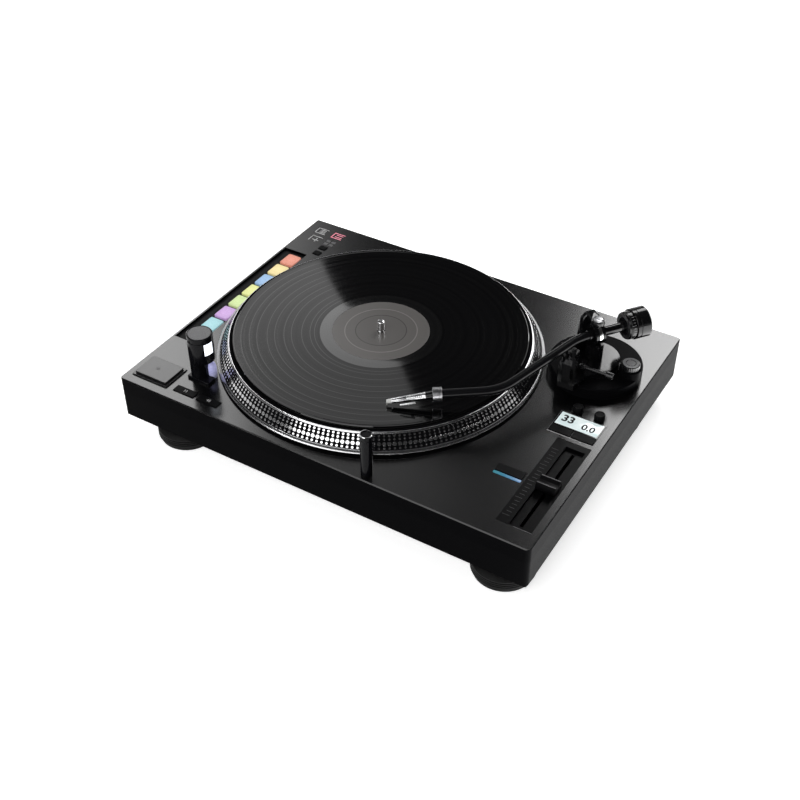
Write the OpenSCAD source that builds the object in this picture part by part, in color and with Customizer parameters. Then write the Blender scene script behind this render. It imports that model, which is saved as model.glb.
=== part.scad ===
// Direct drive turntable with an S-shaped tonearm, pads and a pitch fader.
// Millimetres, +Z up. The origin is under the middle of the plinth, on the surface it stands on.

/* [Plinth] */
// Width of the plinth, left to right
plinth_w = 458; // [450:1:480]
// Depth of the plinth, front to back
plinth_d = 354; // [350:1:370]
// Height of the lower shell
shell_h = 34.5; // [32:0.5:40]
// Height of the top cover, plate and skirt together
cover_h = 17; // [15:0.5:22]
// Thickness of the top cover's plate
plate_t = 9; // [8.5:0.25:11]
// Thickness of the side walls
wall_t = 7; // [5:0.5:9]
// Thickness of the lower shell's floor
floor_t = 5; // [4:0.5:7]
// Corner radius seen from above
corner_r = 5; // [2:0.5:7]
// Bevel round the bottom edge
bottom_bevel = 5; // [2:0.5:8]
// Bevel round the top edge
top_bevel = 1; // [0.5:0.25:2]
// Radius of the bosses that take the cover screws
boss_r = 6.5; // [5:0.25:8]
// Radius of a cover screw's shank
screw_r = 2; // [1.5:0.1:2.5]
// Radius of a cover screw's head
screw_head_r = 4; // [3.5:0.1:4.5]
// Distance from the outer face to the cover screws
screw_inset = 15; // [12:0.5:18]
// Distance from the front face to the front screw on the left side
screw_left_front = 62; // [60:0.5:64]
// Distance from the front face to the front screw on the right side
screw_right_front = 217; // [212:0.5:222]
// Distance from the back face to the back screws
screw_back = 27; // [24:0.5:30]
// Distance from the left face to the left screw along the front
screw_front_left = 149; // [145:0.5:153]
// Distance from the right face to the right screw along the front
screw_front_right = 109; // [104:0.5:114]

/* [Feet] */
// Height of a foot, from the table to the shell
foot_h = 20; // [16:0.5:24]
// Radius of a foot
foot_r = 31; // [24:0.5:31]
// Radius of a foot's stud
stud_r = 5; // [3:0.25:6]
// Length of a foot's stud above the foot
stud_len = 11; // [8:0.5:14]
// Distance of the right feet from the right face
foot_right = 37; // [35:1:50]
// Distance of the left feet from the left face
foot_left = 55; // [40:1:70]
// Distance of the front feet from the front face
foot_front = 31; // [31:1:40]
// Distance of the back feet from the back face
foot_back = 82; // [40:1:90]

/* [Platter and record] */
// Spindle's place from the middle of the plinth, to the right
spindle_x = -30.5; // [-34:0.5:-26]
// Distance from the front face to the spindle
spindle_front = 178.2; // [173:0.2:183]
// Radius of the spindle
spindle_r = 3.57; // [3.4:0.01:3.6]
// Width of the spindle's ring groove, just above the record
groove_w = 0.6; // [0.4:0.1:1]
// Depth of the spindle's ring groove
groove_d = 0.35; // [0.2:0.05:0.5]
// Height of the spindle's tip above the record
spindle_tip = 12; // [8:0.5:16]
// Radius of the bearing shaft under the spindle
shaft_r = 4.5; // [4:0.1:6]
// Radius of the platter at the foot of its slope
platter_r = 165.5; // [162:0.5:167]
// Radius of the platter at its top ring
platter_top_r = 155.2; // [153.5:0.2:157]
// Width of the platter's top ring
ring_w = 3.4; // [2:0.1:4]
// Height of the platter's rim
rim_h = 16.5; // [14:0.5:20]
// Gap between the platter and the deck
platter_gap = 3; // [2:0.25:5]
// How far the platter's foot ring stands out beyond the slope
foot_ring_w = 2.9; // [1:0.1:3.2]
// Thickness of the foot ring at its edge
foot_ring_t = 0.8; // [0.6:0.1:1.4]
// Thickness of the platter's disc
platter_t = 5.8; // [4:0.2:8]
// Depth of the seat inside the platter's top ring
seat_depth = 0.7; // [0.3:0.1:1]
// Gap between the slipmat and the platter's top ring
slipmat_gap = 2.3; // [1:0.1:4]
// Thickness of the slipmat
slipmat_t = 1.2; // [0.8:0.1:2]
// Radius of the record
record_r = 150.8; // [149:0.2:151]
// Thickness of the record
record_t = 1.95; // [1.4:0.05:2.4]

/* [Motor] */
// Radius of the opening in the deck over the motor
motor_hole_r = 62; // [58:1:70]
// Overlap of the motor's frame plate under the deck
frame_overlap = 8; // [5:1:12]
// Thickness of the motor's frame plate
frame_t = 3; // [2:0.25:4]
// Number of coils
coil_count = 9; // [6:1:9]
// Radius of a coil
coil_r = 10; // [8:0.25:11]
// Radius of the ring that the coils stand on
coil_ring_r = 40; // [38:0.5:44]
// Running gap between the coils and the magnet
air_gap = 1; // [0.6:0.1:2]
// Height of the rotor magnet
magnet_h = 7.5; // [5:0.25:8]
// Radius of the bearing housing's tube
bearing_r = 9; // [7:0.25:11]
// Radius of the bearing housing's flange
bearing_flange_r = 17; // [13:0.5:20]
// Height of the bearing housing above the shell's floor
bearing_lift = 1; // [0.5:0.25:1]
// Thickness of the thrust floor under the spindle
thrust_t = 3; // [2:0.25:4]

/* [Pads] */
// Gap between the left face and the pad tray
tray_margin = 3; // [3:0.25:6]
// Width of the pad tray
tray_w = 30; // [28:0.5:34]
// Length of the pad tray
tray_l = 199.5; // [198:0.5:206]
// Distance from the front face to the pad tray
tray_front = 83.5; // [80:0.5:88]
// Depth of the pocket that holds the tray
pocket_depth = 7.5; // [7:0.1:7.9]
// Depth of the tray's top below the deck
tray_drop = 3; // [2:0.25:3.5]
// Width of a pad, left to right
pad_w = 17; // [15:0.25:17.5]
// Length of a pad, front to back
pad_l = 20.5; // [18:0.25:21]
// Distance from one pad to the next
pad_pitch = 24; // [23:0.25:24.2]
// Gap from the right side of the tray to the pads
pad_side = 2; // [1.5:0.25:3]
// Gap from the front of the tray to the first pad
pad_front = 3.5; // [2:0.25:5]
// Depth of a pad's top below the deck
pad_drop = 0.4; // [0:0.1:0.8]
// How far a pad can be pressed
pad_travel = 1.5; // [0.8:0.1:1.5]

/* [Buttons] */
// Width of the start/stop button
start_w = 43.4; // [38:0.2:45]
// Length of the start/stop button, front to back
start_l = 33.4; // [28:0.2:34]
// Distance from the left face to the start/stop button
start_left = 8.3; // [8:0.1:12]
// Distance from the front face to the start/stop button
start_front = 10.8; // [8:0.2:12]
// Height of the start/stop button above the deck
start_rise = 4; // [2.5:0.25:5]
// Width of the step round the start/stop button's top
start_step = 2.2; // [1:0.2:4]
// Width of a speed button
speed_w = 25; // [22:0.5:26]
// Length of a speed button, front to back
speed_l = 9; // [7:0.25:10]
// Distance from the left face to the first speed button
speed_left = 59.3; // [58:0.1:61]
// Distance from one speed button to the next
speed_pitch = 28.7; // [27.5:0.1:30]
// Distance from the front face to the speed buttons
speed_front = 12; // [10:0.25:14]
// Width of the reset button
reset_w = 28; // [24:0.5:29]
// Length of the reset button, front to back
reset_l = 10; // [8:0.25:11]
// Distance from the right face to the reset button
reset_right = 45.3; // [44:0.1:50]
// Distance from the front face to the reset button
reset_front = 75; // [70:0.5:80]
// Width of a mode button
mode_w = 9; // [7:0.25:10]
// Length of a mode button, front to back
mode_l = 7; // [5:0.25:8]
// Distance from the left face to the mode buttons
mode_left = 36.5; // [35:0.5:40]
// Distance from the back face to the nearer mode button's middle
mode_back = 50; // [46:0.5:52]
// Distance from one mode button to the next
mode_pitch = 12; // [10:0.25:14]
// Height of a flat button above the deck
button_rise = 1; // [0.6:0.1:2]
// Depth of a button below the deck
button_depth = 6; // [4:0.25:7]

/* [Strobe tower] */
// Distance of the tower's axis from the left face
tower_left = 70.5; // [66:0.5:72]
// Distance of the tower's axis from the front face
tower_front = 48; // [45:0.5:50]
// Radius of the tower's head
tower_r = 13; // [11:0.25:14]
// Radius of the tower's stem
stem_r = 9.2; // [8:0.1:10.5]
// How far the stem stands back from the platter
stem_back = 3.6; // [0:0.2:3.8]
// Height of the underside of the tower's head above the deck
head_z = 21; // [16:0.5:26]
// Height of the top of the tower's head above the deck
tower_h = 46; // [40:0.5:50]
// Thickness of the power switch on top
switch_t = 5.6; // [4:0.2:8]
// Radius of the power switch's shaft
switch_pin_r = 3; // [2:0.1:4]
// Length of the power switch's shaft
switch_pin_len = 8; // [5:0.25:10]
// Width of the tower's foot plate
tower_plate_w = 27; // [26:0.5:30]
// Length of the tower's foot plate, front to back
tower_plate_l = 12; // [10:0.5:36]
// Thickness of the tower's foot plate
tower_plate_t = 3; // [2:0.25:4]

/* [Target light] */
// Distance of the target light from the middle, to the right
target_x = 58; // [50:1:66]
// Distance of the target light from the front face
target_front = 11; // [10:0.25:12]
// Radius of the target light
target_r = 5.8; // [4.5:0.1:6.5]
// Height of the raised target light above the deck
target_h = 47; // [40:0.5:50]
// Length of the target light inside the deck
target_root = 5; // [4:0.25:7]
// How far the target light slides down
target_travel = 38; // [30:0.5:38]

/* [Pitch fader] */
// Distance from the right face to the fader plate
fader_right = 8; // [7.5:0.25:12]
// Distance from the front face to the fader plate
fader_front = 19; // [16:0.5:22]
// Width of the fader plate
fader_w = 35; // [33:0.5:37]
// Length of the fader plate
fader_l = 126.5; // [122:0.5:128]
// Thickness of the fader plate
fader_t = 6; // [5:0.25:7]
// Width of the fader's channel
channel_w = 19.5; // [16:0.25:21]
// Length of the fader's channel
channel_l = 117; // [112:0.5:118]
// Depth of the fader's channel
channel_d = 3; // [2:0.25:4]
// Distance from the fader plate's right side to the channel
channel_right = 3; // [2:0.25:4]
// Distance from the fader plate's front to the channel
channel_front = 1.5; // [1:0.25:4]
// Travel of the pitch slider each way from the middle
pitch_travel = 50; // [40:0.5:50]
// Width of the pitch slider's cap
cap_w = 20; // [18:0.5:26]
// Length of the pitch slider's cap, front to back
cap_l = 15.5; // [11:0.25:16]
// Height of the pitch slider's cap
cap_h = 7; // [6:0.25:13]
// Thickness of the pitch slider's stem
slider_stem_t = 2.6; // [2:0.1:3.5]
// Length of the pitch slider's stem, front to back
slider_stem_l = 7; // [5:0.25:7]
// Depth of the pitch slider's stem below the deck
slider_stem_d = 14; // [10:0.5:15]

/* [Display] */
// Distance from the right face to the display
display_right = 10; // [9.5:0.25:14]
// Distance from the front face to the display's buttons
display_front = 151; // [149:0.5:156]
// Width of the display
display_w = 46; // [42:0.5:48]
// Length of the display window, front to back
display_l = 21.5; // [19:0.25:22.5]
// Length of a display button, front to back
display_button_l = 9.5; // [7:0.25:10]
// Gap between the display's pieces
display_gap = 1; // [0.8:0.1:1.4]
// Depth of the display window below the deck
display_depth = 5; // [3:0.25:6]
// Height of the display window above the deck
display_rise = 0.5; // [0:0.1:1]
// Radius of the two small knobs
knob_r = 5.2; // [4:0.1:5.5]
// Height of the two small knobs
knob_h = 6.2; // [4:0.2:8]
// Gap between the display and the small knobs
knob_back = 1.5; // [1:0.25:3]
// Distance between the two small knobs
knob_pitch = 22.5; // [16:0.25:26]
// Distance from the right face to the right knob's axis
knob_right = 20; // [16:0.25:24]
// Radius of a small knob's shaft
knob_pin_r = 2.5; // [2:0.1:3]
// Length of a small knob's shaft
knob_pin_len = 6; // [4:0.25:7]

/* [Tonearm base] */
// Distance from the spindle to the tonearm's pivot
pivot_distance = 216; // [212:0.1:218]
// Direction of the pivot seen from the spindle, in degrees
pivot_angle = 20.5; // [19:0.1:22]
// Radius of the arm base
base_r = 47; // [44:0.5:48]
// Height of the arm base under the height ring
base_h = 6; // [4:0.25:8]
// How far the arm base's drum ends below the top of the height ring
drum_drop = 0.5; // [0:0.1:3]
// Gap between the drum and the height ring
drum_gap = 0.75; // [0.5:0.05:1.5]
// Arm base's middle from the pivot, to the right
base_off_x = 2.2; // [0:0.1:5]
// Arm base's middle from the pivot, to the back
base_off_y = 3.2; // [-3:0.1:5]
// Wall of the arm base's neck in the deck
neck_wall = 3; // [2:0.25:4]
// Radius of the pillar that carries the tonearm
pillar_r = 18; // [15:0.25:19]
// Depth of the pillar below the deck
pillar_depth = 11; // [8:0.5:14]
// Radius of the height ring
ring_r = 27.25; // [25:0.25:27.5]
// Thickness of the height ring
ring_h = 6.2; // [4:0.2:8]
// Radius of the carriage plate
carriage_r = 26.5; // [25:0.25:27.25]
// Thickness of the carriage plate
carriage_t = 6; // [4:0.25:8]
// How far the height ring lifts the tonearm
height_travel = 6; // [3:0.25:6]
// Anti-skate dial from the pivot, to the right
skate_x = 39.2; // [38.8:0.2:41]
// Anti-skate dial from the pivot, to the back
skate_y = 1; // [-4:0.2:4]
// Radius of the anti-skate boss
skate_boss_r = 11; // [10:0.25:11.5]
// Height of the anti-skate boss above the deck
skate_boss_h = 19.7; // [14:0.25:22]
// Radius of the anti-skate dial
skate_r = 9.2; // [7:0.2:10.5]
// Thickness of the anti-skate dial
skate_t = 6; // [4:0.25:8]
// Radius of the anti-skate dial's shaft
skate_pin_r = 3; // [2:0.1:4]
// Length of the anti-skate dial's shaft
skate_pin_len = 8; // [5:0.25:10]

/* [Tonearm] */
// Height of the arm's pivot above the deck
pivot_h = 47.5; // [46:0.25:50]
// Direction in which the arm points, in degrees
arm_angle = 232.4; // [226:0.2:236]
// How far the arm's nose points down, in degrees
arm_pitch = 4; // [2:0.25:5]
// Radius of the arm tube
tube_r = 4.5; // [3.5:0.1:5]
// Straight length of the tube from the pivot
tube_straight = 10; // [9.5:0.25:14]
// Bend of the tube, in degrees
tube_bend = 20.4; // [17:0.2:22]
// Radius of the tube's first bend
bend_1_r = 58; // [48:1:64]
// Radius of the tube's second bend
bend_2_r = 45; // [38:1:60]
// Straight length between the bends
tube_middle = 79.9; // [76:0.1:83]
// Length from the collar to the stylus
head_len = 48; // [44:0.5:54]
// Radius of the locking collar
collar_r = 6.8; // [5.6:0.1:7]
// Length of the locking collar
collar_len = 9; // [7:0.25:12]
// Radius of the cartridge's rear end
cartridge_r = 4.2; // [3.6:0.1:4.4]
// Radius of the cartridge's nose
nose_r = 2.4; // [1.8:0.1:3]
// Gap between the stylus and the record
stylus_gap = 0.3; // [0.2:0.05:0.5]
// Radius of the pivot block
block_r = 5.5; // [5:0.1:5.8]
// Half length of the pivot block
block_half = 9; // [7:0.25:9.5]
// Radius of the gimbal yoke outside
yoke_r = 10.8; // [10.4:0.1:11.4]
// Wall of the gimbal yoke
yoke_wall = 2.8; // [2:0.1:3]
// Half width of the gimbal yoke
yoke_half = 5; // [3.5:0.25:6]
// Radius of the gimbal's pins
gimbal_pin_r = 1.5; // [1:0.05:2]
// Radius of the upright pivot pins
pivot_pin_r = 2; // [1.2:0.1:2.5]
// Length of an upright pin in its bearing
pivot_pin_len = 3; // [2:0.25:4]
// Radius of the boss under the gimbal
pivot_boss_r = 9; // [7:0.25:10]
// Gap between the gimbal and the boss or the bridge
gimbal_gap = 0.6; // [0.4:0.1:1.5]
// Radius of the rear stub
stub_r = 4.8; // [4:0.1:5]
// How far the rear stub droops from the tube's line, in degrees
stub_droop = 2.5; // [0:0.25:3]
// Radius of the counterweight
weight_r = 15.6; // [13:0.2:16]
// Length of the counterweight
weight_len = 16.5; // [14:0.5:20]
// Distance from the pivot to the force dial's front
weight_back = 30.5; // [29:0.5:34]
// Radius of the force dial
force_r = 14.2; // [12:0.2:15]
// Length of the force dial
force_len = 7.5; // [6:0.25:9]
// Thickness of the bridge's fin
fin_t = 5; // [4:0.25:6]
// Distance from the pivot to the fin's inner face
fin_gap = 12.6; // [12.4:0.1:14]
// Half width of the fin at its foot
fin_foot = 14; // [11:0.25:15]
// Half width of the fin at its top
fin_top = 9; // [8:0.25:10]
// Thickness of the bridge's beam
beam_t = 5; // [4:0.25:7]
// Radius of the pivot screw
pivot_screw_r = 4.9; // [4:0.1:5.5]
// How far the pivot screw stands above the beam
pivot_screw_rise = 1; // [0.5:0.1:2]

/* [Arm rest and cueing] */
// Swing of the parked arm, in degrees
park_angle = 17; // [14:0.5:17.5]
// Distance from the pivot to the arm rest
rest_reach = 46; // [44:0.5:48]
// Thickness of the arm rest
rest_t = 3.5; // [2.5:0.25:4]
// Length of the arm rest along the tube
rest_l = 8; // [6:0.25:9]
// Clearance of the parked tube in the arm rest
rest_gap = 0.6; // [0.5:0.05:1]
// Radius of the rest clip's pin
clip_pin_r = 1.5; // [1:0.1:1.6]
// Length of the rest clip
clip_len = 12; // [10:0.25:14]
// Thickness of the rest clip
clip_t = 3; // [2:0.25:3]
// Distance from the pivot to the cue bar
cue_reach = 30; // [27:0.5:33]
// Length of the cue bar
cue_bar_l = 26; // [20:0.5:30]
// Width of the cue bar
cue_bar_w = 4; // [3:0.25:6]
// Thickness of the cue bar
cue_bar_t = 2.5; // [2:0.25:3]
// Travel of the cue bar
cue_travel = 3.6; // [2:0.1:4]
// Space left under the tube when the cue bar is up
cue_gap = 0.8; // [0.5:0.1:1.5]
// Radius of the cue bar's rod
cue_rod_r = 2; // [1.5:0.1:2.5]
// Radius of the cue cylinder
cue_cylinder_r = 5; // [4:0.25:6]
// Height of the cue cylinder above the carriage plate
cue_cylinder_h = 9; // [6:0.25:10]
// Cue lever's pivot from the arm's pivot, to the right
lever_x = 1; // [0:0.25:3]
// Cue lever's pivot from the arm's pivot, to the front
lever_y = 27; // [26:0.25:30]
// Height of the cue lever's pivot above the carriage plate
lever_z = 9; // [6:0.25:10]
// Length of the cue lever
lever_len = 27; // [20:0.5:30]
// Radius of the cue lever's rod
lever_r = 1.6; // [1.2:0.1:2]
// Radius of the cue lever's knob
lever_knob_r = 3.4; // [2.5:0.1:4]
// Length of the cue lever's knob
lever_knob_len = 6; // [4:0.25:9]

/* [Rear sockets] */
// Middle of the connector panel from the middle of the plinth, to the right
panel_x = -90; // [-110:1:-60]
// Width of the connector panel
panel_w = 150; // [140:1:160]
// Height of the connector panel
panel_h = 25; // [23.5:0.25:25]
// Wall of the connector panel
panel_t = 2; // [1.5:0.25:2]
// Depth of the connector panel's recess behind the rear wall
panel_depth = 9; // [8:0.25:12]
// Radius of a phono jack's barrel
phono_r = 4.15; // [4.1:0.01:4.2]
// Length of a phono jack's barrel
phono_len = 9; // [8:0.25:10]
// Radius of a phono jack's contact hole
phono_hole_r = 1.65; // [1.5:0.05:1.75]
// Distance between the phono jacks
phono_pitch = 22; // [18:0.5:24]
// Width of the mains inlet's cavity
inlet_w = 25; // [24:0.25:25.5]
// Height of the mains inlet's cavity
inlet_h = 15.5; // [15:0.25:16]
// Depth of the mains inlet's cavity
inlet_d = 11; // [9:0.25:12]
// Wall of the mains inlet
inlet_wall = 2; // [1.5:0.25:2.25]
// Width of a data socket's cavity
data_w = 8.6; // [8:0.1:9]
// Height of a data socket's cavity
data_h = 7.8; // [7:0.1:8]
// Distance between the data sockets
data_pitch = 24; // [18:0.5:26]

/* [Circuit board] */
// Width of the circuit board
board_w = 150; // [120:1:160]
// Depth of the circuit board
board_d = 90; // [70:1:96]
// Thickness of the circuit board
board_t = 1.6; // [1:0.1:2]
// Height of the board's standoffs
standoff_h = 5; // [3:0.25:8]
// Radius of a standoff
standoff_r = 3.5; // [3:0.25:5]
// Middle of the board from the middle of the plinth, to the right
board_x = 65; // [60:1:70]
// Distance from the back face to the middle of the board
board_back = 89; // [85:1:95]
// Height of the power supply's block and of its tall cans
component_h = 14; // [8:0.5:16]
// Width of the power supply's block
supply_w = 34; // [26:1:40]
// Depth of the power supply's block
supply_d = 28; // [20:1:34]
// Side of the processor chip
chip_w = 22; // [14:1:26]
// Thickness of the processor chip
chip_h = 3; // [2:0.25:4]
// Radius of a tall can
can_r = 5.5; // [4:0.25:7]
// Distance from one can to the next
can_pitch = 16; // [15:0.5:18]

/* [Fits] */
// Clearance round a button or a pad
button_gap = 0.35; // [0.25:0.05:0.5]
// Radial clearance of a running fit
running_gap = 0.04; // [0.02:0.01:0.08]
// Gap between flat faces that turn or slide on each other
face_gap = 0.3; // [0.2:0.05:0.5]
// Gap between pieces that are set into each other and stay
set_gap = 0.05; // [0.02:0.01:0.1]

/* [Hidden] */
$fn = 64;
PAD_COUNT = 8;
PAD_NAMES = [for (i = [1:PAD_COUNT]) str("pad_", i)];
FOOT_NAMES = ["foot_front_left", "foot_front_right", "foot_back_left", "foot_back_right"];
PLINTH_NODES = ["base_shell", "top_cover", "cover_screws", "circuit_board", "motor_stator",
    "bearing_housing", "connector_panel", "rear_sockets", "pad_tray", "strobe_tower",
    "fader_plate", "display_window", "arm_base"];
DRIVE_NODES = ["platter", "spindle", "rotor_magnet", "slipmat", "record"];
CONTROL_NODES = ["start_stop_button", "speed_33_button", "speed_45_button", "power_switch",
    "target_light", "pitch_slider", "reset_button", "display_button_left", "display_button_right",
    "start_knob", "brake_knob", "mode_button_front", "mode_button_back"];
ARM_NODES = ["height_ring", "arm_carriage", "arm_bridge", "pivot_screw", "arm_rest", "gimbal_yoke",
    "pivot_block", "arm_tube", "cartridge", "stylus", "locking_collar", "counterweight",
    "force_dial", "antiskate_dial", "cue_lever", "cue_bar", "arm_clip"];

// A small overlap that lets one cut run through a face
cut = 1;

// Heights above the table
seam_z = foot_h + shell_h;
deck_z = seam_z + cover_h;
plate_z = deck_z - plate_t;
floor_z = foot_h + floor_t;

// Faces of the plinth
left_x = -plinth_w / 2;
right_x = plinth_w / 2;
front_y = -plinth_d / 2;
back_y = plinth_d / 2;

// Places of the feet, in the order of FOOT_NAMES
foot_spots = [for (y = [front_y + foot_front, back_y - foot_back])
    for (x = [left_x + foot_left, right_x - foot_right]) [x, y]];

// Places of the cover screws: two on each side and two along the front
screw_left_y = front_y + screw_left_front;
screw_right_y = front_y + screw_right_front;
screw_back_y = back_y - screw_back;
screw_spots = [
    [left_x + screw_inset, screw_left_y], [left_x + screw_inset, screw_back_y],
    [right_x - screw_inset, screw_right_y], [right_x - screw_inset, screw_back_y],
    [left_x + screw_front_left, front_y + screw_inset],
    [right_x - screw_front_right, front_y + screw_inset]];
screw_head_h = 3;
screw_sink = 8;
screw_seat_z = foot_h + screw_sink;
screw_top_z = plate_z;

// The spindle's place from front to back
spindle_y = front_y + spindle_front;

// Seat of the slipmat inside the platter's top ring
seat_r = platter_top_r - ring_w;
slipmat_r = seat_r - slipmat_gap;

// Heights of the platter and what lies on it
rim_z = deck_z + platter_gap;
rim_top_z = rim_z + rim_h;
seat_z = rim_top_z - seat_depth;
disc_under_z = seat_z - platter_t;
slipmat_top_z = seat_z + slipmat_t;
record_z = slipmat_top_z + set_gap;
record_top_z = record_z + record_t;
spindle_top_z = record_top_z + spindle_tip;
bearing_bottom_z = floor_z + bearing_lift;
thrust_z = bearing_bottom_z + thrust_t;
bearing_top_z = deck_z - 1;
magnet_z = disc_under_z - magnet_h;
frame_z = plate_z - frame_t;

// Pad tray and pads
tray_x = left_x + tray_margin;
tray_y = front_y + tray_front;
pocket_z = deck_z - pocket_depth;
tray_top_z = deck_z - tray_drop;
tray_floor_t = 1;
pad_x = tray_x + tray_w - pad_side - pad_w / 2;
pad_y = tray_y + pad_front + pad_l / 2;
pad_top_z = deck_z - pad_drop;
pad_bottom_z = pocket_z + tray_floor_t + pad_travel + face_gap;
PAD_COLOURS = ["#6fa8ff", "#7fe3dc", "#d88bea", "#8fe08a", "#c6e66a", "#7fc4f5", "#f3dd7a", "#f28a74"];

// Middles of the buttons
start_at = [left_x + start_left + start_w / 2, front_y + start_front + start_l / 2];
speed_at = [left_x + speed_left + speed_w / 2, front_y + speed_front + speed_l / 2];
reset_at = [right_x - reset_right - reset_w / 2, front_y + reset_front + reset_l / 2];
mode_at = [left_x + mode_left + mode_w / 2, back_y - mode_back - mode_pitch];

// Strobe tower and target light
tower_at = [left_x + tower_left, front_y + tower_front];
to_spindle = [spindle_x, spindle_y] - tower_at;
stem_at = tower_at - stem_back * to_spindle / norm(to_spindle);
target_at = [target_x, front_y + target_front];
target_well_r = target_r + 0.6;
target_well_z = deck_z - target_root - target_travel - 1;

// Pitch fader
fader_at = [right_x - fader_right - fader_w, front_y + fader_front];
channel_at = [fader_at[0] + fader_w - channel_right - channel_w, fader_at[1] + channel_front];
slider_at = channel_at + [channel_w, channel_l] / 2;
slot_l = 2 * pitch_travel + slider_stem_l + 1;
slot_w = slider_stem_t + 0.8;

// Display and the two small knobs
display_at = [right_x - display_right - display_w, front_y + display_front];
window_at = display_at + [0, display_button_l + display_gap];
display_button_w = (display_w - display_gap) / 2;
knob_y = window_at[1] + display_l + knob_back + knob_r;
knob_spots = [[right_x - knob_right - knob_pitch, knob_y], [right_x - knob_right, knob_y]];

// Tonearm: the pivot and the levels of the base
pivot_at = [spindle_x, spindle_y] + pivot_distance * [cos(pivot_angle), sin(pivot_angle)];
base_at = pivot_at + [base_off_x, base_off_y];
skate_at = pivot_at + [skate_x, skate_y];
base_top_z = deck_z + base_h;
ring_z = base_top_z + face_gap;
drum_h = ring_z + ring_h - drum_drop - deck_z;
carriage_z = ring_z + ring_h + face_gap;
carriage_top_z = carriage_z + carriage_t;
pillar_z = deck_z - pillar_depth;
neck_r = pillar_r + running_gap + neck_wall;
pivot_z = deck_z + pivot_h;
yoke_in_r = yoke_r - yoke_wall;
beam_z = pivot_z + yoke_r + gimbal_gap;
beam_top_z = beam_z + beam_t;
boss_top_z = pivot_z - yoke_r - gimbal_gap;

// Path of the arm tube in the arm's own plane, x along the arm from the pivot
bend_1_end = [tube_straight + bend_1_r * sin(tube_bend), bend_1_r * (1 - cos(tube_bend))];
middle_end = bend_1_end + tube_middle * [cos(tube_bend), sin(tube_bend)];
bend_2_end = middle_end + [2 * bend_2_r * sin(tube_bend), 0];
nose_dir = [cos(tube_bend), -sin(tube_bend)];
nose_len = bend_2_end[1] / sin(tube_bend);
stylus_at = bend_2_end + nose_len * nose_dir;
collar_at = stylus_at - head_len * nose_dir;
front_straight = nose_len - head_len;
stylus_tip_z = record_top_z + stylus_gap;
stylus_drop = (pivot_z - stylus_at[0] * sin(arm_pitch) - stylus_tip_z) / cos(arm_pitch);
stylus_h = 2.2;
cartridge_tilt = atan((stylus_drop - nose_r - stylus_h) / (head_len - 2));

// Rear stub, its lean and where the counterweight ends
stub_pitch = arm_pitch - stub_droop;
stub_end = 2;
weight_end = -weight_back - force_len - face_gap - weight_len;

// Parked tube at the arm rest, and the rest's own frame
rest_off = bend_1_end[1] + (rest_reach - bend_1_end[0]) * tan(tube_bend);
rest_angle = arm_angle + park_angle + atan(rest_off / rest_reach);
rest_radius = norm([rest_reach, rest_off]);
rest_at = pivot_at + rest_radius * [cos(rest_angle), sin(rest_angle)];
rest_turn = arm_angle + park_angle + tube_bend - 270;
rest_z = pivot_z - rest_reach * sin(arm_pitch);
ledge_top_z = rest_z - tube_r - rest_gap;
wall_x = tube_r + rest_gap;
clip_z = rest_z + tube_r + rest_gap + clip_t / 2 + 1.4;
clip_x = wall_x + rest_t / 2;

// Cue bar and lever
cue_under_z = pivot_z - cue_reach * sin(arm_pitch) - tube_r / cos(arm_pitch);
cue_bar_z = cue_under_z - cue_gap - cue_travel - cue_bar_t;
cue_at = pivot_at + cue_reach * [cos(arm_angle), sin(arm_angle)];
lever_at = pivot_at + [lever_x, -lever_y];
lever_axis_z = carriage_top_z + lever_z;

// Connector panel in the rear wall
panel_z = floor_z + 1;
panel_face_y = back_y - wall_t - panel_depth + panel_t;
panel_mid_z = panel_z + panel_h / 2;
inlet_x = panel_x + panel_w / 2 - 24;
phono_x = panel_x - panel_w / 2 + 22;
data_x = panel_x + 2;
socket_rise = inlet_d + inlet_wall;

// Circuit board
board_at = [board_x, back_y - board_back];

// A flat rectangle with round corners, centred
module rounded_rect(w, d, r) {
    square([w - 2 * r, d], center = true);
    square([w, d - 2 * r], center = true);
    for (x = [-1, 1], y = [-1, 1])
        translate([x * (w / 2 - r), y * (d / 2 - r)])
            circle(r);
}

// A standing block with round corners, centred in x and y
module rounded_block(w, d, h, r) {
    linear_extrude(h)
        rounded_rect(w, d, r);
}

// A block from its lower front left corner
module block_at(at, size, z, h) {
    translate([at[0], at[1], z])
        cube([size[0], size[1], h]);
}

// A block centred on a place in plan
module block_on(at, size, z, h) {
    block_at(at - size / 2, size, z, h);
}

// An upright cylinder at a place in plan
module post(at, r, z, h) {
    translate([at[0], at[1], z])
        cylinder(r = r, h = h);
}

// A long profile bevelled at its two bottom or top corners, run along y
module bevelled_run(w, d, h, low, high) {
    translate([0, d / 2, 0])
        rotate([90, 0, 0])
            linear_extrude(d)
                polygon([
                    [-w / 2 + low, 0], [w / 2 - low, 0], [w / 2, low], [w / 2, h - high],
                    [w / 2 - high, h], [-w / 2 + high, h], [-w / 2, h - high], [-w / 2, low]]);
}

// The outer form of half of the plinth, with bevels along its bottom or top edges
module plinth_form(h, low, high) {
    intersection() {
        rounded_block(plinth_w, plinth_d, h, corner_r);
        bevelled_run(plinth_w, plinth_d + 2 * cut, h, low, high);
        rotate([0, 0, 90])
            bevelled_run(plinth_d, plinth_w + 2 * cut, h, low, high);
    }
}

// The hollow between the side walls
module plinth_hollow(z, h) {
    translate([0, 0, z])
        rounded_block(plinth_w - 2 * wall_t, plinth_d - 2 * wall_t, h, max(corner_r - wall_t / 2, 1));
}

// Everything that belongs to the arm, set at the pivot, turned and pitched nose down
module arm_frame(pitch = arm_pitch) {
    translate([pivot_at[0], pivot_at[1], pivot_z])
        rotate([0, pitch, arm_angle])
            children();
}

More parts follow.
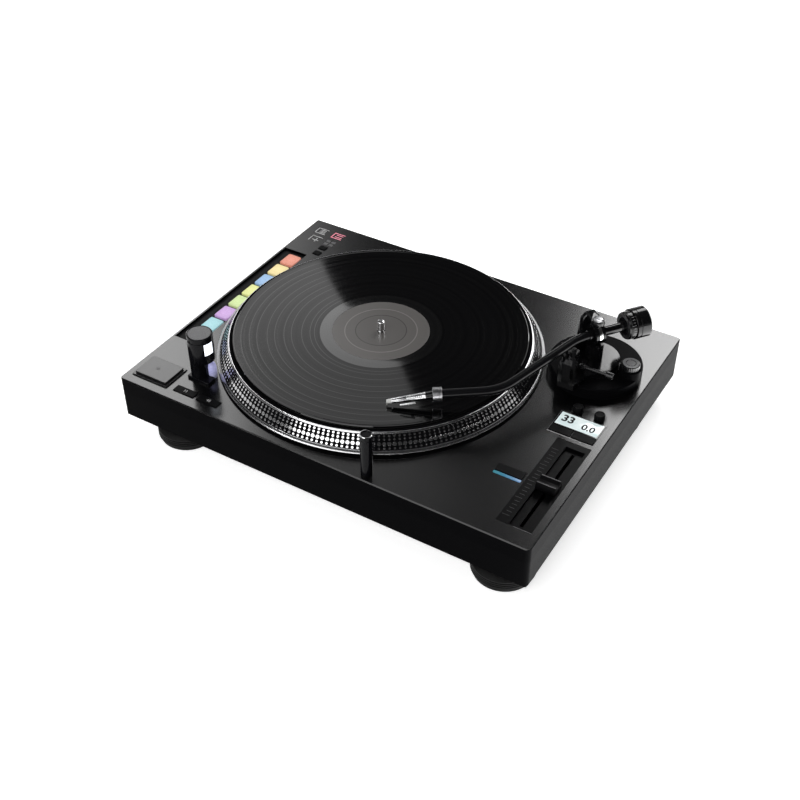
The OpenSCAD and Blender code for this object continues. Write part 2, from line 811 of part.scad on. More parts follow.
// A rod along the arm's x axis
module arm_rod(x, r, len) {
    translate([x, 0, 0])
        rotate([0, 90, 0])
            cylinder(r = r, h = len);
}

// A rod along the nose of the tube, measured from the collar's middle
module nose_rod(s, r1, r2, len) {
    translate([collar_at[0], collar_at[1], 0])
        rotate([0, 90, -tube_bend])
            translate([0, 0, s])
                cylinder(r1 = r1, r2 = r2, h = len);
}

// Lower shell with screw and foot bosses and the opening for the connectors
module base_shell() color("#151517") {
    difference() {
        union() {
            difference() {
                translate([0, 0, foot_h])
                    plinth_form(shell_h, bottom_bevel, 0);
                plinth_hollow(floor_z, shell_h);
            }
            for (s = screw_spots)
                post(s, boss_r, floor_z - cut, seam_z - floor_z + cut);
            for (s = foot_spots)
                post(s, stud_r + 4, floor_z - cut, foot_h + stud_len + 2 - floor_z + cut);
        }
        for (s = screw_spots) {
            post(s, screw_r + set_gap, foot_h - cut, shell_h + 2 * cut);
            post(s, screw_head_r + set_gap, foot_h - cut, screw_sink + cut);
        }
        for (s = foot_spots)
            post(s, stud_r + running_gap, foot_h - cut, stud_len + cut + 0.5);
        block_at([panel_x - panel_w / 2 + panel_t, back_y - wall_t - cut],
            [panel_w - 2 * panel_t, wall_t + 2 * cut], panel_z + panel_t, panel_h - 2 * panel_t);
        post(target_at, target_well_r, target_well_z, seam_z - target_well_z + cut);
    }
}

// Top cover: plate and skirt, with every opening in the deck
module top_cover() color("#3a3a3d") {
    difference() {
        union() {
            difference() {
                translate([0, 0, seam_z])
                    plinth_form(cover_h, 0, top_bevel);
                plinth_hollow(seam_z - cut, cover_h - plate_t + cut);
            }
            for (s = screw_spots)
                post(s, boss_r, seam_z, plate_z - seam_z + cut);
        }
        for (s = screw_spots)
            post(s, screw_r + set_gap, seam_z - cut, screw_top_z - seam_z + 2 * cut);
        post([spindle_x, spindle_y], motor_hole_r, plate_z - cut, plate_t + 2 * cut);
        block_at([tray_x, tray_y], [tray_w, tray_l], pocket_z, pocket_depth + cut);
        button_opening(start_at, [start_w, start_l]);
        for (i = [0, 1]) {
            button_opening(speed_at + [i * speed_pitch, 0], [speed_w, speed_l]);
            button_opening(mode_at + [0, i * mode_pitch], [mode_w, mode_l]);
            button_opening(display_button_at(i), [display_button_w, display_button_l]);
        }
        button_opening(reset_at, [reset_w, reset_l]);
        post(target_at, target_r + running_gap, plate_z - cut, plate_t + 2 * cut);
        post(target_at, target_well_r, seam_z - cut, plate_z - seam_z + cut);
        block_at(fader_at, [fader_w, fader_l], deck_z - fader_t, fader_t + cut);
        block_on(slider_at, [slot_w + 4, slot_l + 4], plate_z - cut, plate_t);
        block_at(window_at, [display_w, display_l], deck_z - display_depth, display_depth + cut);
        for (s = knob_spots)
            post(s, knob_pin_r + running_gap, deck_z - knob_pin_len - 1, knob_pin_len + 1 + cut);
        post(pivot_at, neck_r + set_gap, plate_z - cut, plate_t + 2 * cut);
    }
}

// The opening in the deck for one button
module button_opening(at, size) {
    block_on(at, size + [2, 2] * button_gap, plate_z - cut, plate_t + 2 * cut);
}

// The screws that hold the shell to the cover
module cover_screws() color("#8a8d92") {
    for (s = screw_spots) {
        post(s, screw_head_r, screw_seat_z - screw_head_h, screw_head_h);
        post(s, screw_r, screw_seat_z - cut, screw_top_z - screw_seat_z + cut);
    }
}

// Main board on its standoffs, with the power supply's large components
module circuit_board() color("#1f6b3a") {
    board_z = floor_z + standoff_h;
    block_on(board_at, [board_w, board_d], board_z, board_t);
    for (x = [-1, 1], y = [-1, 1])
        post(board_at + [x * (board_w / 2 - 6), y * (board_d / 2 - 6)], standoff_r, floor_z, standoff_h + board_t);
    component_z = board_z + board_t - set_gap;
    block_on(board_at + [-0.32 * board_w, 0.2 * board_d], [supply_w, supply_d], component_z, component_h);
    block_on(board_at + [0.08 * board_w, -0.11 * board_d], [chip_w, chip_w], component_z, chip_h);
    for (i = [0:2])
        post(board_at + [i * can_pitch - can_pitch / 2, 0.27 * board_d], can_r, component_z, component_h);
}

// Frame plate under the deck and the coils that stand on it
module motor_stator() color("#b87333") {
    translate([spindle_x, spindle_y, 0]) {
        difference() {
            post([0, 0], motor_hole_r + frame_overlap, frame_z, frame_t);
            post([0, 0], bearing_r + set_gap, frame_z - cut, frame_t + 2 * cut);
        }
        for (i = [0:coil_count - 1])
            rotate(i * 360 / coil_count)
                post([coil_ring_r, 0], coil_r, plate_z - 0.5, magnet_z - air_gap - plate_z + 0.5);
    }
}

// Bearing housing with its bush and thrust floor
module bearing_housing() color("#b5a642") {
    translate([spindle_x, spindle_y, 0])
        difference() {
            union() {
                post([0, 0], bearing_r, bearing_bottom_z, bearing_top_z - bearing_bottom_z);
                post([0, 0], bearing_flange_r, plate_z, frame_t);
            }
            post([0, 0], shaft_r + running_gap, thrust_z, bearing_top_z - thrust_z + cut);
        }
}

// Recessed pan in the rear wall
module connector_panel() color("#202022") {
    difference() {
        block_at([panel_x - panel_w / 2, panel_face_y - panel_t], [panel_w, panel_depth], panel_z, panel_h);
        block_at([panel_x - panel_w / 2 + panel_t, panel_face_y],
            [panel_w - 2 * panel_t, panel_depth], panel_z + panel_t, panel_h - 2 * panel_t);
    }
}

// A socket with a rectangular cavity that opens to the back
module cavity_socket(x, w, h, d, wall) {
    difference() {
        block_at([x - w / 2 - wall, panel_face_y], [w + 2 * wall, d + wall],
            panel_mid_z - h / 2 - wall, h + 2 * wall);
        block_at([x - w / 2, panel_face_y + wall], [w, d + cut], panel_mid_z - h / 2, h);
    }
}

// Mains inlet with its three blades, two phono jacks and two data sockets
module rear_sockets() color("#101012") {
    cavity_socket(inlet_x, inlet_w, inlet_h, inlet_d, inlet_wall);
    for (b = [[-7, -5], [7, -5], [0, -1]])
        block_at([inlet_x + b[0] - 1, panel_face_y + inlet_wall - set_gap], [2, inlet_d - 2],
            panel_mid_z + b[1], 4);
    for (i = [0, 1]) {
        translate([phono_x + i * phono_pitch, panel_face_y, panel_mid_z])
            rotate([-90, 0, 0])
                difference() {
                    union() {
                        cylinder(r = phono_r, h = phono_len);
                        cylinder(r = phono_r + 2, h = 1.5);
                    }
                    translate([0, 0, 2])
                        cylinder(r = phono_hole_r, h = phono_len);
                }
        cavity_socket(data_x + (i - 0.5) * data_pitch, data_w, data_h, 8, 1.5);
    }
}

// Black liner with a well for each pad
module pad_tray() color("#0d0d0e") {
    difference() {
        block_at([tray_x, tray_y] + [1, 1] * set_gap, [tray_w, tray_l] - [2, 2] * set_gap,
            pocket_z, tray_top_z - pocket_z);
        for (i = [0:PAD_COUNT - 1])
            block_on([pad_x, pad_y + i * pad_pitch], [pad_w, pad_l] + [2, 2] * button_gap,
                pocket_z + tray_floor_t, tray_top_z - pocket_z);
    }
}

// Tower beside the platter: foot plate, stem and lamp head
module strobe_tower() color("#16171b") {
    difference() {
        union() {
            block_at([tower_at[0] - tower_r + 1.6, tower_at[1] - tower_r], [tower_plate_w, tower_plate_l],
                deck_z, tower_plate_t);
            post(stem_at, stem_r, deck_z, head_z + cut);
            post(tower_at, tower_r, deck_z + head_z, tower_h - head_z);
        }
        post(tower_at, switch_pin_r + running_gap, deck_z + tower_h - switch_pin_len - face_gap,
            switch_pin_len + face_gap + cut);
    }
}

// Rotary power switch on top of the tower
module power_switch() color("#55575c") {
    post(tower_at, tower_r, deck_z + tower_h + face_gap, switch_t);
    post(tower_at, switch_pin_r, deck_z + tower_h - switch_pin_len, switch_pin_len + face_gap + cut);
}

// Pop-up light that shines at the stylus
module target_light() color("#121214") {
    lens_z = deck_z + target_h - 8;
    difference() {
        post(target_at, target_r, deck_z - target_root, target_root + target_h);
        block_at(target_at + [-2, target_r - 1.5], [4, 3], lens_z, 4);
    }
}

// Plate with the pitch scale, the channel and the slot
module fader_plate() color("#2c2c2f") {
    difference() {
        block_at(fader_at + [1, 1] * set_gap, [fader_w, fader_l] - [2, 2] * set_gap, deck_z - fader_t, fader_t);
        block_at(channel_at, [channel_w, channel_l], deck_z - channel_d, channel_d + cut);
        block_on(slider_at, [slot_w, slot_l], deck_z - fader_t - cut, fader_t + 2 * cut);
    }
}

// Pitch slider: a cap with two ridges, and the stem in the slot
module pitch_slider() color("#131315") {
    ridge = cap_l / 2 - 1.5;
    cap_z = deck_z + face_gap;
    translate([slider_at[0] - cap_w / 2, slider_at[1], cap_z])
        rotate([90, 0, 90])
            linear_extrude(cap_w)
                polygon([
                    [-cap_l / 2, 0], [cap_l / 2, 0], [cap_l / 2, cap_h * 0.3], [ridge, cap_h],
                    [ridge - 2, cap_h], [1.5, cap_h * 0.72], [-1.5, cap_h * 0.72], [2 - ridge, cap_h],
                    [-ridge, cap_h], [-cap_l / 2, cap_h * 0.3]]);
    block_on(slider_at, [slider_stem_t, slider_stem_l], deck_z - slider_stem_d, slider_stem_d + face_gap + cut);
}

// Glossy display window
module display_window() color("#08090a") {
    block_at(window_at + [1, 1] * set_gap, [display_w, display_l] - [2, 2] * set_gap,
        deck_z - display_depth, display_depth + display_rise);
}

// The middle of one of the two display buttons
function display_button_at(i) =
    display_at + [display_button_w / 2 + i * (display_button_w + display_gap), display_button_l / 2];

// A plain push button in the deck
module flat_button(at, size, rise) {
    block_on(at, size, deck_z - button_depth, button_depth + rise);
}

// Large start/stop button with a step round its top
module start_stop_button() color("#4a4b4f") {
    flat_button(start_at, [start_w, start_l], start_rise * 0.35);
    block_on(start_at, [start_w, start_l] - [2, 2] * start_step, deck_z, start_rise);
}

// One of the pads, counted from the front
module pad(i) color(PAD_COLOURS[i - 1]) {
    block_on([pad_x, pad_y + (i - 1) * pad_pitch], [pad_w, pad_l], pad_bottom_z, pad_top_z - pad_bottom_z);
}

// A small knob on its shaft
module small_knob(at) color("#111113") {
    post(at, knob_r, deck_z + face_gap, knob_h);
    post(at, knob_pin_r, deck_z - knob_pin_len, knob_pin_len + face_gap + cut);
}

// A screw-in foot: rubber tread, body, neck and stud
module foot(at) color("#0f0f10") {
    translate([at[0], at[1], 0])
        rotate_extrude()
            polygon([
                [0, 0], [foot_r - 3, 0], [foot_r - 2, 1], [foot_r - 2, foot_h * 0.25],
                [foot_r, foot_h * 0.3], [foot_r, foot_h * 0.75], [foot_r - 3, foot_h * 0.9],
                [foot_r * 0.7, foot_h - face_gap], [stud_r, foot_h - face_gap],
                [stud_r, foot_h + stud_len], [0, foot_h + stud_len]]);
}

// Platter: sloping rim with a ring on top, disc and hub
module platter() color("#9b9da1") {
    hub_r = 13;
    rim_wall = 7;
    bore_r = shaft_r + set_gap;
    translate([spindle_x, spindle_y, 0])
        rotate_extrude($fn = 180)
            polygon([
                [bore_r, rim_z - 1], [hub_r, rim_z - 1], [hub_r, disc_under_z],
                [platter_top_r - rim_wall, disc_under_z], [platter_r - rim_wall - 3, rim_z],
                [platter_r + foot_ring_w, rim_z], [platter_r + foot_ring_w, rim_z + foot_ring_t],
                [platter_r, rim_z + 2], [platter_top_r + 1, rim_top_z - 1.2],
                [platter_top_r, rim_top_z], [seat_r, rim_top_z], [seat_r, seat_z],
                [bore_r, seat_z]]);
}

// Spindle: bearing shaft, the part that centres the record, a ring groove and the round tip
module spindle() color("#c8cacd") {
    tip = 1.4;
    foot_z = thrust_z + set_gap;
    neck_end_r = spindle_r - groove_d;
    groove_top_z = record_top_z + groove_w;
    translate([spindle_x, spindle_y, 0])
        rotate_extrude()
            polygon([
                [0, foot_z], [shaft_r, foot_z], [shaft_r, seat_z], [spindle_r, seat_z],
                [spindle_r, record_top_z], [neck_end_r, record_top_z], [neck_end_r, groove_top_z],
                [spindle_r, groove_top_z], [spindle_r, spindle_top_z - tip],
                [spindle_r - tip * 0.3, spindle_top_z - tip / 3], [spindle_r - tip, spindle_top_z],
                [0, spindle_top_z]]);
}

// Ring magnet under the platter
module rotor_magnet() color("#4b4c50") {
    difference() {
        post([spindle_x, spindle_y], coil_ring_r + coil_r + 4, magnet_z, magnet_h);
        post([spindle_x, spindle_y], coil_ring_r - coil_r - 4, magnet_z - cut, magnet_h + 2 * cut);
    }
}

// Felt mat between the platter and the record
module slipmat() color("#1b1b1c") {
    difference() {
        post([spindle_x, spindle_y], slipmat_r, seat_z, slipmat_t);
        post([spindle_x, spindle_y], spindle_r + face_gap, seat_z - cut, slipmat_t + 2 * cut);
    }
}

// Record with a raised label, a groove area and a bead at its edge
module record() color("#0a0a0b") {
    label_r = 50;
    bead = 2;
    dip = 0.25;
    hole_r = spindle_r + running_gap;
    translate([spindle_x, spindle_y, 0])
        rotate_extrude($fn = 180)
            polygon([
                [hole_r, record_z], [record_r - 0.4, record_z], [record_r, record_z + record_t / 2],
                [record_r - 0.4, record_top_z], [record_r - bead, record_top_z],
                [record_r - bead - 1, record_top_z - dip], [label_r + 8, record_top_z - dip],
                [label_r + 6, record_top_z], [hole_r, record_top_z]]);
}

// Fixed base of the tonearm: a drum round the height ring, the neck in the deck and the anti-skate boss
module arm_base() color("#101012") {
    bevel = 1.2;
    difference() {
        union() {
            translate([base_at[0], base_at[1], deck_z])
                rotate_extrude()
                    polygon([
                        [0, 0], [base_r, 0], [base_r, drum_h - bevel], [base_r - bevel, drum_h], [0, drum_h]]);
            post(pivot_at, neck_r, pillar_z, pillar_depth + cut);
            post(skate_at, skate_boss_r, deck_z, skate_boss_h);
        }
        post(pivot_at, ring_r + drum_gap, base_top_z, ring_h);
        post(pivot_at, pillar_r + running_gap, pillar_z - cut, pillar_depth + base_h + 2 * cut);
        post(skate_at, skate_pin_r + running_gap, deck_z + skate_boss_h - skate_pin_len - face_gap,
            skate_pin_len + face_gap + cut);
    }
}

// Anti-skate dial
module antiskate_dial() color("#a9abae") {
    post(skate_at, skate_r, deck_z + skate_boss_h + face_gap, skate_t);
    post(skate_at, skate_pin_r, deck_z + skate_boss_h - skate_pin_len, skate_pin_len + face_gap + cut);
}

// Ring that sets the arm's height
module height_ring() color("#1a1a1c") {
    grip_count = 36;
    difference() {
        post(pivot_at, ring_r, ring_z, ring_h);
        post(pivot_at, pillar_r + 0.5, ring_z - cut, ring_h + 2 * cut);
        for (i = [0:grip_count - 1])
            translate([pivot_at[0], pivot_at[1], 0])
                rotate(i * 360 / grip_count)
                    post([ring_r + 0.5, 0], 1, ring_z + 1.5, ring_h);
    }
}

// Outline of the carriage plate in front of the pivot, which carries the rest and the cueing
module carriage_outline() {
    circle(carriage_r);
    toe = [rest_at[0], rest_at[1]] - pivot_at;
    polygon([
        [-carriage_r * 0.95, 0], [-carriage_r * 0.95, -carriage_r], toe + [-7, -7], toe + [10, -7],
        [lever_x + 6, -lever_y - 5], [carriage_r * 0.8, -carriage_r * 0.6]]);
}

// Carriage: pillar, plate, pivot boss, cue cylinder and lever lug
module arm_carriage() color("#17171a") {
    lug_t = 4;
    difference() {
        union() {
            post(pivot_at, pillar_r, pillar_z, carriage_z - pillar_z + cut);
            translate([pivot_at[0], pivot_at[1], carriage_z])
                linear_extrude(carriage_t)
                    carriage_outline();
            post(pivot_at, pivot_boss_r, carriage_z, boss_top_z - carriage_z);
            post(cue_at, cue_cylinder_r, carriage_z, carriage_t + cue_cylinder_h);
            block_on(lever_at, [6, lug_t], carriage_z, carriage_t + lever_z + 4);
        }
        post(pivot_at, pivot_pin_r + running_gap, boss_top_z - pivot_pin_len - face_gap, pivot_pin_len + 1);
        post(cue_at, cue_rod_r + running_gap, carriage_z - cut, carriage_t + cue_cylinder_h + 2 * cut);
        translate([lever_at[0], lever_at[1], lever_axis_z])
            rotate([90, 0, 0])
                cylinder(r = lever_r + running_gap, h = lug_t + 2 * cut, center = true);
    }
}

// Bridge over the gimbal: a fin beside the arm and a beam to the pivot
module arm_bridge() color("#0e0e10") {
    rise = beam_top_z - carriage_top_z;
    bevel = 4;
    beam_half = fin_top - bevel;
    difference() {
        translate([pivot_at[0], pivot_at[1], carriage_top_z])
            rotate(arm_angle) {
                translate([0, -fin_gap, 0])
                    rotate([90, 0, 0])
                        linear_extrude(fin_t)
                            polygon([
                                [-fin_foot, 0], [fin_foot, 0], [fin_top, rise - bevel], [beam_half, rise],
                                [-beam_half, rise], [-fin_top, rise - bevel]]);
                translate([-beam_half, -fin_gap - cut, rise - beam_t])
                    cube([2 * beam_half, fin_gap + cut, beam_t]);
                post([0, 0], pivot_screw_r + 2, rise - beam_t, beam_t);
            }
        post(pivot_at, pivot_screw_r + set_gap, beam_z - cut, beam_t + 2 * cut);
    }
}

// Bearing screw over the pivot
module pivot_screw() color("#d5d7da") {
    difference() {
        post(pivot_at, pivot_screw_r, beam_z, beam_t + pivot_screw_rise);
        post(pivot_at, pivot_pin_r + running_gap, beam_z - cut, pivot_pin_len + face_gap + cut);
        block_on(pivot_at, [2 * pivot_screw_r + 2, 1.2], beam_top_z + pivot_screw_rise - 0.8, 2);
    }
}

// Yoke that turns on the upright pins and carries the arm between its cheeks
module gimbal_yoke() color("#26272b") {
    arm_frame(pitch = 0) {
        difference() {
            arm_rod(-yoke_half, yoke_r, 2 * yoke_half);
            arm_rod(-yoke_half - cut, yoke_in_r, 2 * (yoke_half + cut));
            rotate([90, 0, 0])
                cylinder(r = gimbal_pin_r + running_gap, h = 2 * yoke_r + 2 * cut, center = true);
        }
        for (side = [0, 1])
            mirror([0, 0, side])
                translate([0, 0, yoke_r - yoke_wall / 2])
                    cylinder(r = pivot_pin_r, h = yoke_wall / 2 + gimbal_gap + pivot_pin_len);
    }
}

// Block on the gimbal's pins, with the stub that carries the weight
module pivot_block() color("#1d1e21") {
    arm_frame() {
        arm_rod(-block_half, block_r, 2 * block_half);
        rotate([90, 0, 0])
            cylinder(r = gimbal_pin_r, h = 2 * (yoke_r - 0.6), center = true);
    }
    arm_frame(stub_pitch)
        arm_rod(weight_end - stub_end, stub_r, stub_end - weight_end);
}

// A bend of the tube that starts at the origin along x, to the left (side 1) or right (side -1)
module tube_arc(r, sweep, side) {
    translate([0, side * r, 0])
        rotate(side > 0 ? -90 : 90 - sweep)
            rotate_extrude(angle = sweep)
                translate([r, 0])
                    circle(tube_r);
}

// Carries what follows a bend to the bend's end
module after_arc(r, sweep, side) {
    translate([0, side * r, 0])
        rotate(side * sweep)
            translate([0, -side * r, 0])
                children();
}

// S-shaped tube, run by run from the pivot block to the collar.
// The straight runs are a hair slimmer and reach into the bends, which joins them soundly.
module arm_tube() color("#3b3c40") {
    lap = 0.6;
    run_r = tube_r - 0.02;
    arm_frame() {
        arm_rod(block_half, run_r, tube_straight - block_half + lap);
        translate([tube_straight, 0, 0]) {
            tube_arc(bend_1_r, tube_bend, 1);
            after_arc(bend_1_r, tube_bend, 1) {
                arm_rod(-lap, run_r, tube_middle + 2 * lap);
                translate([tube_middle, 0, 0]) {
                    tube_arc(bend_2_r, 2 * tube_bend, -1);
                    after_arc(bend_2_r, 2 * tube_bend, -1)
                        arm_rod(-lap, run_r, front_straight + lap);
                }
            }
        }
    }
}

// Locking collar at the tube's end
module locking_collar() color("#d0d2d6") {
    arm_frame()
        difference() {
            nose_rod(-collar_len / 2, collar_r, collar_r, collar_len);
            nose_rod(-collar_len / 2 - cut, tube_r + running_gap, tube_r + running_gap, collar_len + 2 * cut);
        }
}

// Slim cartridge with its plug in the collar and a finger lift at its side
module cartridge() color("#b9bbc0") {
    body_start = collar_len / 2 + 0.5;
    body_len = head_len - 4 - body_start;
    arm_frame() {
        nose_rod(0, cartridge_r, cartridge_r, body_start + 1);
        translate([collar_at[0], collar_at[1], 0])
            rotate([0, 0, -tube_bend])
                rotate([0, cartridge_tilt, 0]) {
                    translate([body_start, 0, 0])
                        rotate([0, 90, 0])
                            cylinder(r1 = cartridge_r, r2 = nose_r, h = body_len);
                    translate([body_start + body_len * 0.45, 0, -0.6])
                        cube([5, 8, 1.2]);
                    translate([body_start + body_len * 0.45, 7, -0.6])
                        cube([15, 1.6, 1.2]);
                }
    }
}

// White stylus holder under the nose, with the tip
module stylus() color("#f2f2f0") {
    body_end = head_len - 4;
    arm_frame()
        translate([collar_at[0], collar_at[1], 0])
            rotate([0, 0, -tube_bend]) {
                rotate([0, cartridge_tilt, 0])
                    translate([body_end, 0, 0])
                        rotate([0, 90, 0])
                            cylinder(r1 = nose_r, r2 = nose_r * 0.8, h = 4.5);
                translate([head_len, 0, -stylus_drop])
                    cylinder(r1 = 0.15, r2 = 0.8, h = stylus_h + 1.2);
            }
}

// Counterweight on the stub
module counterweight() color("#1b1c20") {
    bevel = 1.5;
    arm_frame(stub_pitch)
        translate([weight_end, 0, 0])
            rotate([0, 90, 0])
                rotate_extrude()
                    polygon([
                        [stub_r + running_gap, 0], [weight_r - bevel, 0], [weight_r, bevel],
                        [weight_r, weight_len], [stub_r + running_gap, weight_len]]);
}

// Numbered dial in front of the counterweight
module force_dial() color("#2a2b2f") {
    start = -weight_back - force_len;
    arm_frame(stub_pitch)
        difference() {
            arm_rod(start, force_r, force_len);
            arm_rod(start - cut, stub_r + running_gap, force_len + 2 * cut);
        }
}

// Hook that holds the parked tube, open towards the platter
module arm_rest() color("#141416") {
    foot_w = 8;
    translate([rest_at[0], rest_at[1], 0])
        rotate(rest_turn)
            difference() {
                union() {
                    block_on([0, 0], [foot_w, rest_l], carriage_top_z, ledge_top_z - carriage_top_z);
                    block_at([-tube_r, -rest_l / 2], [tube_r + wall_x + rest_t, rest_l], ledge_top_z - rest_t, rest_t);
                    block_at([wall_x, -rest_l / 2], [rest_t, rest_l], ledge_top_z - rest_t,
                        clip_z + clip_pin_r + 1 - ledge_top_z + rest_t);
                }
                translate([clip_x, 0, clip_z])
                    rotate([90, 0, 0])
                        cylinder(r = clip_pin_r + running_gap, h = rest_l + 2 * cut, center = true);
            }
}

// Clip that closes over the parked tube, shown open
module arm_clip() color("#2b2c30") {
    translate([rest_at[0], rest_at[1], clip_z])
        rotate(rest_turn)
            translate([clip_x, 0, 0]) {
                rotate([90, 0, 0])
                    cylinder(r = clip_pin_r, h = rest_l + 2 * face_gap + 1, center = true);
                block_at([-clip_t / 2, -rest_l / 2 - face_gap - 3], [clip_t, 3], -clip_t / 2, clip_len);
            }
}

// Bar under the tube, on its rod in the cue cylinder
module cue_bar() color("#1c1c1f") {
    translate([cue_at[0], cue_at[1], 0])
        rotate(arm_angle)
            block_on([0, 0], [cue_bar_w, cue_bar_l], cue_bar_z, cue_bar_t);
    post(cue_at, cue_rod_r, carriage_z + face_gap, cue_bar_z - carriage_z - face_gap + cut);
}

// Cue lever: a pin through the lug and a rod with a knob to the right
module cue_lever() color("#5a5b60") {
    lug_half = 2;
    crank_t = 3;
    translate([lever_at[0], lever_at[1], lever_axis_z]) {
        translate([0, crank_t / 2 - lug_half - face_gap, 0])
            rotate([90, 0, 0])
                translate([0, 0, -2 * lug_half - face_gap - 1])
                    cylinder(r = lever_r, h = 2 * lug_half + face_gap + crank_t + 1);
        translate([0, -lug_half - face_gap - crank_t / 2, 0]) {
            rotate([90, 0, 0])
                cylinder(r = lever_r + 1.4, h = crank_t, center = true);
            rotate([0, 90, 0]) {
                cylinder(r = lever_r, h = lever_len);
                translate([0, 0, lever_len - 1])
                    cylinder(r = lever_knob_r, h = lever_knob_len);
            }
        }
    }
}

base_shell();
top_cover();
cover_screws();
circuit_board();
motor_stator();
bearing_housing();
connector_panel();
rear_sockets();
pad_tray();
strobe_tower();
fader_plate();
display_window();
arm_base();
for (i = [0:3])
    foot(foot_spots[i]);
platter();
spindle();
rotor_magnet();
slipmat();
record();
for (i = [1:PAD_COUNT])
    pad(i);
start_stop_button();
color("#18181a") flat_button(speed_at, [speed_w, speed_l], button_rise);  // speed_33_button
color("#18181a") flat_button(speed_at + [speed_pitch, 0], [speed_w, speed_l], button_rise);  // speed_45_button
power_switch();
target_light();
pitch_slider();
color("#18181a") flat_button(reset_at, [reset_w, reset_l], button_rise);  // reset_button
color("#141416") flat_button(display_button_at(0), [display_button_w, display_button_l], button_rise);  // display_button_left
color("#141416") flat_button(display_button_at(1), [display_button_w, display_button_l], button_rise);  // display_button_right
small_knob(knob_spots[0]);  // start_knob
small_knob(knob_spots[1]);  // brake_knob
color("#2a2a2d") flat_button(mode_at, [mode_w, mode_l], button_rise);  // mode_button_front
color("#2a2a2d") flat_button(mode_at + [0, mode_pitch], [mode_w, mode_l], button_rise);  // mode_button_back
height_ring();
arm_carriage();
arm_bridge();
pivot_screw();
arm_rest();
gimbal_yoke();
pivot_block();
arm_tube();
cartridge();
stylus();
locking_collar();
counterweight();
force_dial();
antiskate_dial();
cue_lever();
cue_bar();
arm_clip();
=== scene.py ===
# %% [markdown]
# # A direct drive turntable, dressed for a studio picture
# The model was drawn as solids first, so every plate, knob and joint already has its place.
# Here it gets its looks: a finish for each solid that is right as it is, and a finer mesh for the
# pieces whose rounded edges, grooves and printed marks the solids leave out.
# One unit is a metre, so `MM` turns the drawing's millimetres into scene units.

# %% Load the solids
import math

import bmesh
import bpy
from mathutils import Matrix, Vector


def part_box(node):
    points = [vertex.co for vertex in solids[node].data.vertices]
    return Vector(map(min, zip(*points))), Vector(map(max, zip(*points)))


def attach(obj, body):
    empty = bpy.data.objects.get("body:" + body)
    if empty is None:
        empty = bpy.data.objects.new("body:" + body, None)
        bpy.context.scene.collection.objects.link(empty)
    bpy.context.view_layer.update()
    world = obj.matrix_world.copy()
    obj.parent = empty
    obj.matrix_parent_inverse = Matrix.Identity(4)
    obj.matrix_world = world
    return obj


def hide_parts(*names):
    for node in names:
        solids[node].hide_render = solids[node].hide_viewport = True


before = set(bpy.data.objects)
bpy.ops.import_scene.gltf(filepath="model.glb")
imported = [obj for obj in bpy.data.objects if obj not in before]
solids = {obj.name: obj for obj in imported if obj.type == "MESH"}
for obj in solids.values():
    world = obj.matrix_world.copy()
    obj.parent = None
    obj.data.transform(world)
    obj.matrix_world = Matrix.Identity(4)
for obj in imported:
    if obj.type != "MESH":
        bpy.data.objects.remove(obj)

MM = 0.001
scene = bpy.context.scene
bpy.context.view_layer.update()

# %% [markdown]
# ## The camera
# A product picture is taken from some way off with a long lens, which keeps the plinth's edges
# almost parallel. The camera is placed by an azimuth, an elevation and a distance from the point
# that it looks at, because those three are easy to read off a photograph's vanishing points.

# %% Camera
AIM = Vector((37.12, -73.03, 82.46)) * MM
STAND_OFF = 1156.3 * MM
AZIMUTH, ELEVATION = math.radians(31.203), math.radians(39.683)
FOCAL_LENGTH, SENSOR_W = 53.955, 36

sight = Vector((
    math.sin(AZIMUTH) * math.cos(ELEVATION),
    -math.cos(AZIMUTH) * math.cos(ELEVATION),
    math.sin(ELEVATION),
))
optics = bpy.data.cameras.new("studio_camera")
optics.lens, optics.sensor_width = FOCAL_LENGTH, SENSOR_W
camera = bpy.data.objects.new("studio_camera", optics)
scene.collection.objects.link(camera)
camera.location = AIM + STAND_OFF * sight
camera.rotation_euler = sight.to_track_quat("Z", "Y").to_euler()
scene.camera = camera
scene.view_settings.view_transform = "Standard"
print("camera at", [round(v, 3) for v in camera.location])

# %% [markdown]
# ## Short calls for node trees
# A material is a small graph of nodes. `Graph` wraps one, so that the usual steps are one short call
# each: add a node, feed a socket with a number or with another node's output, mix two colours by a
# mask, and spread a mask over a range of values.

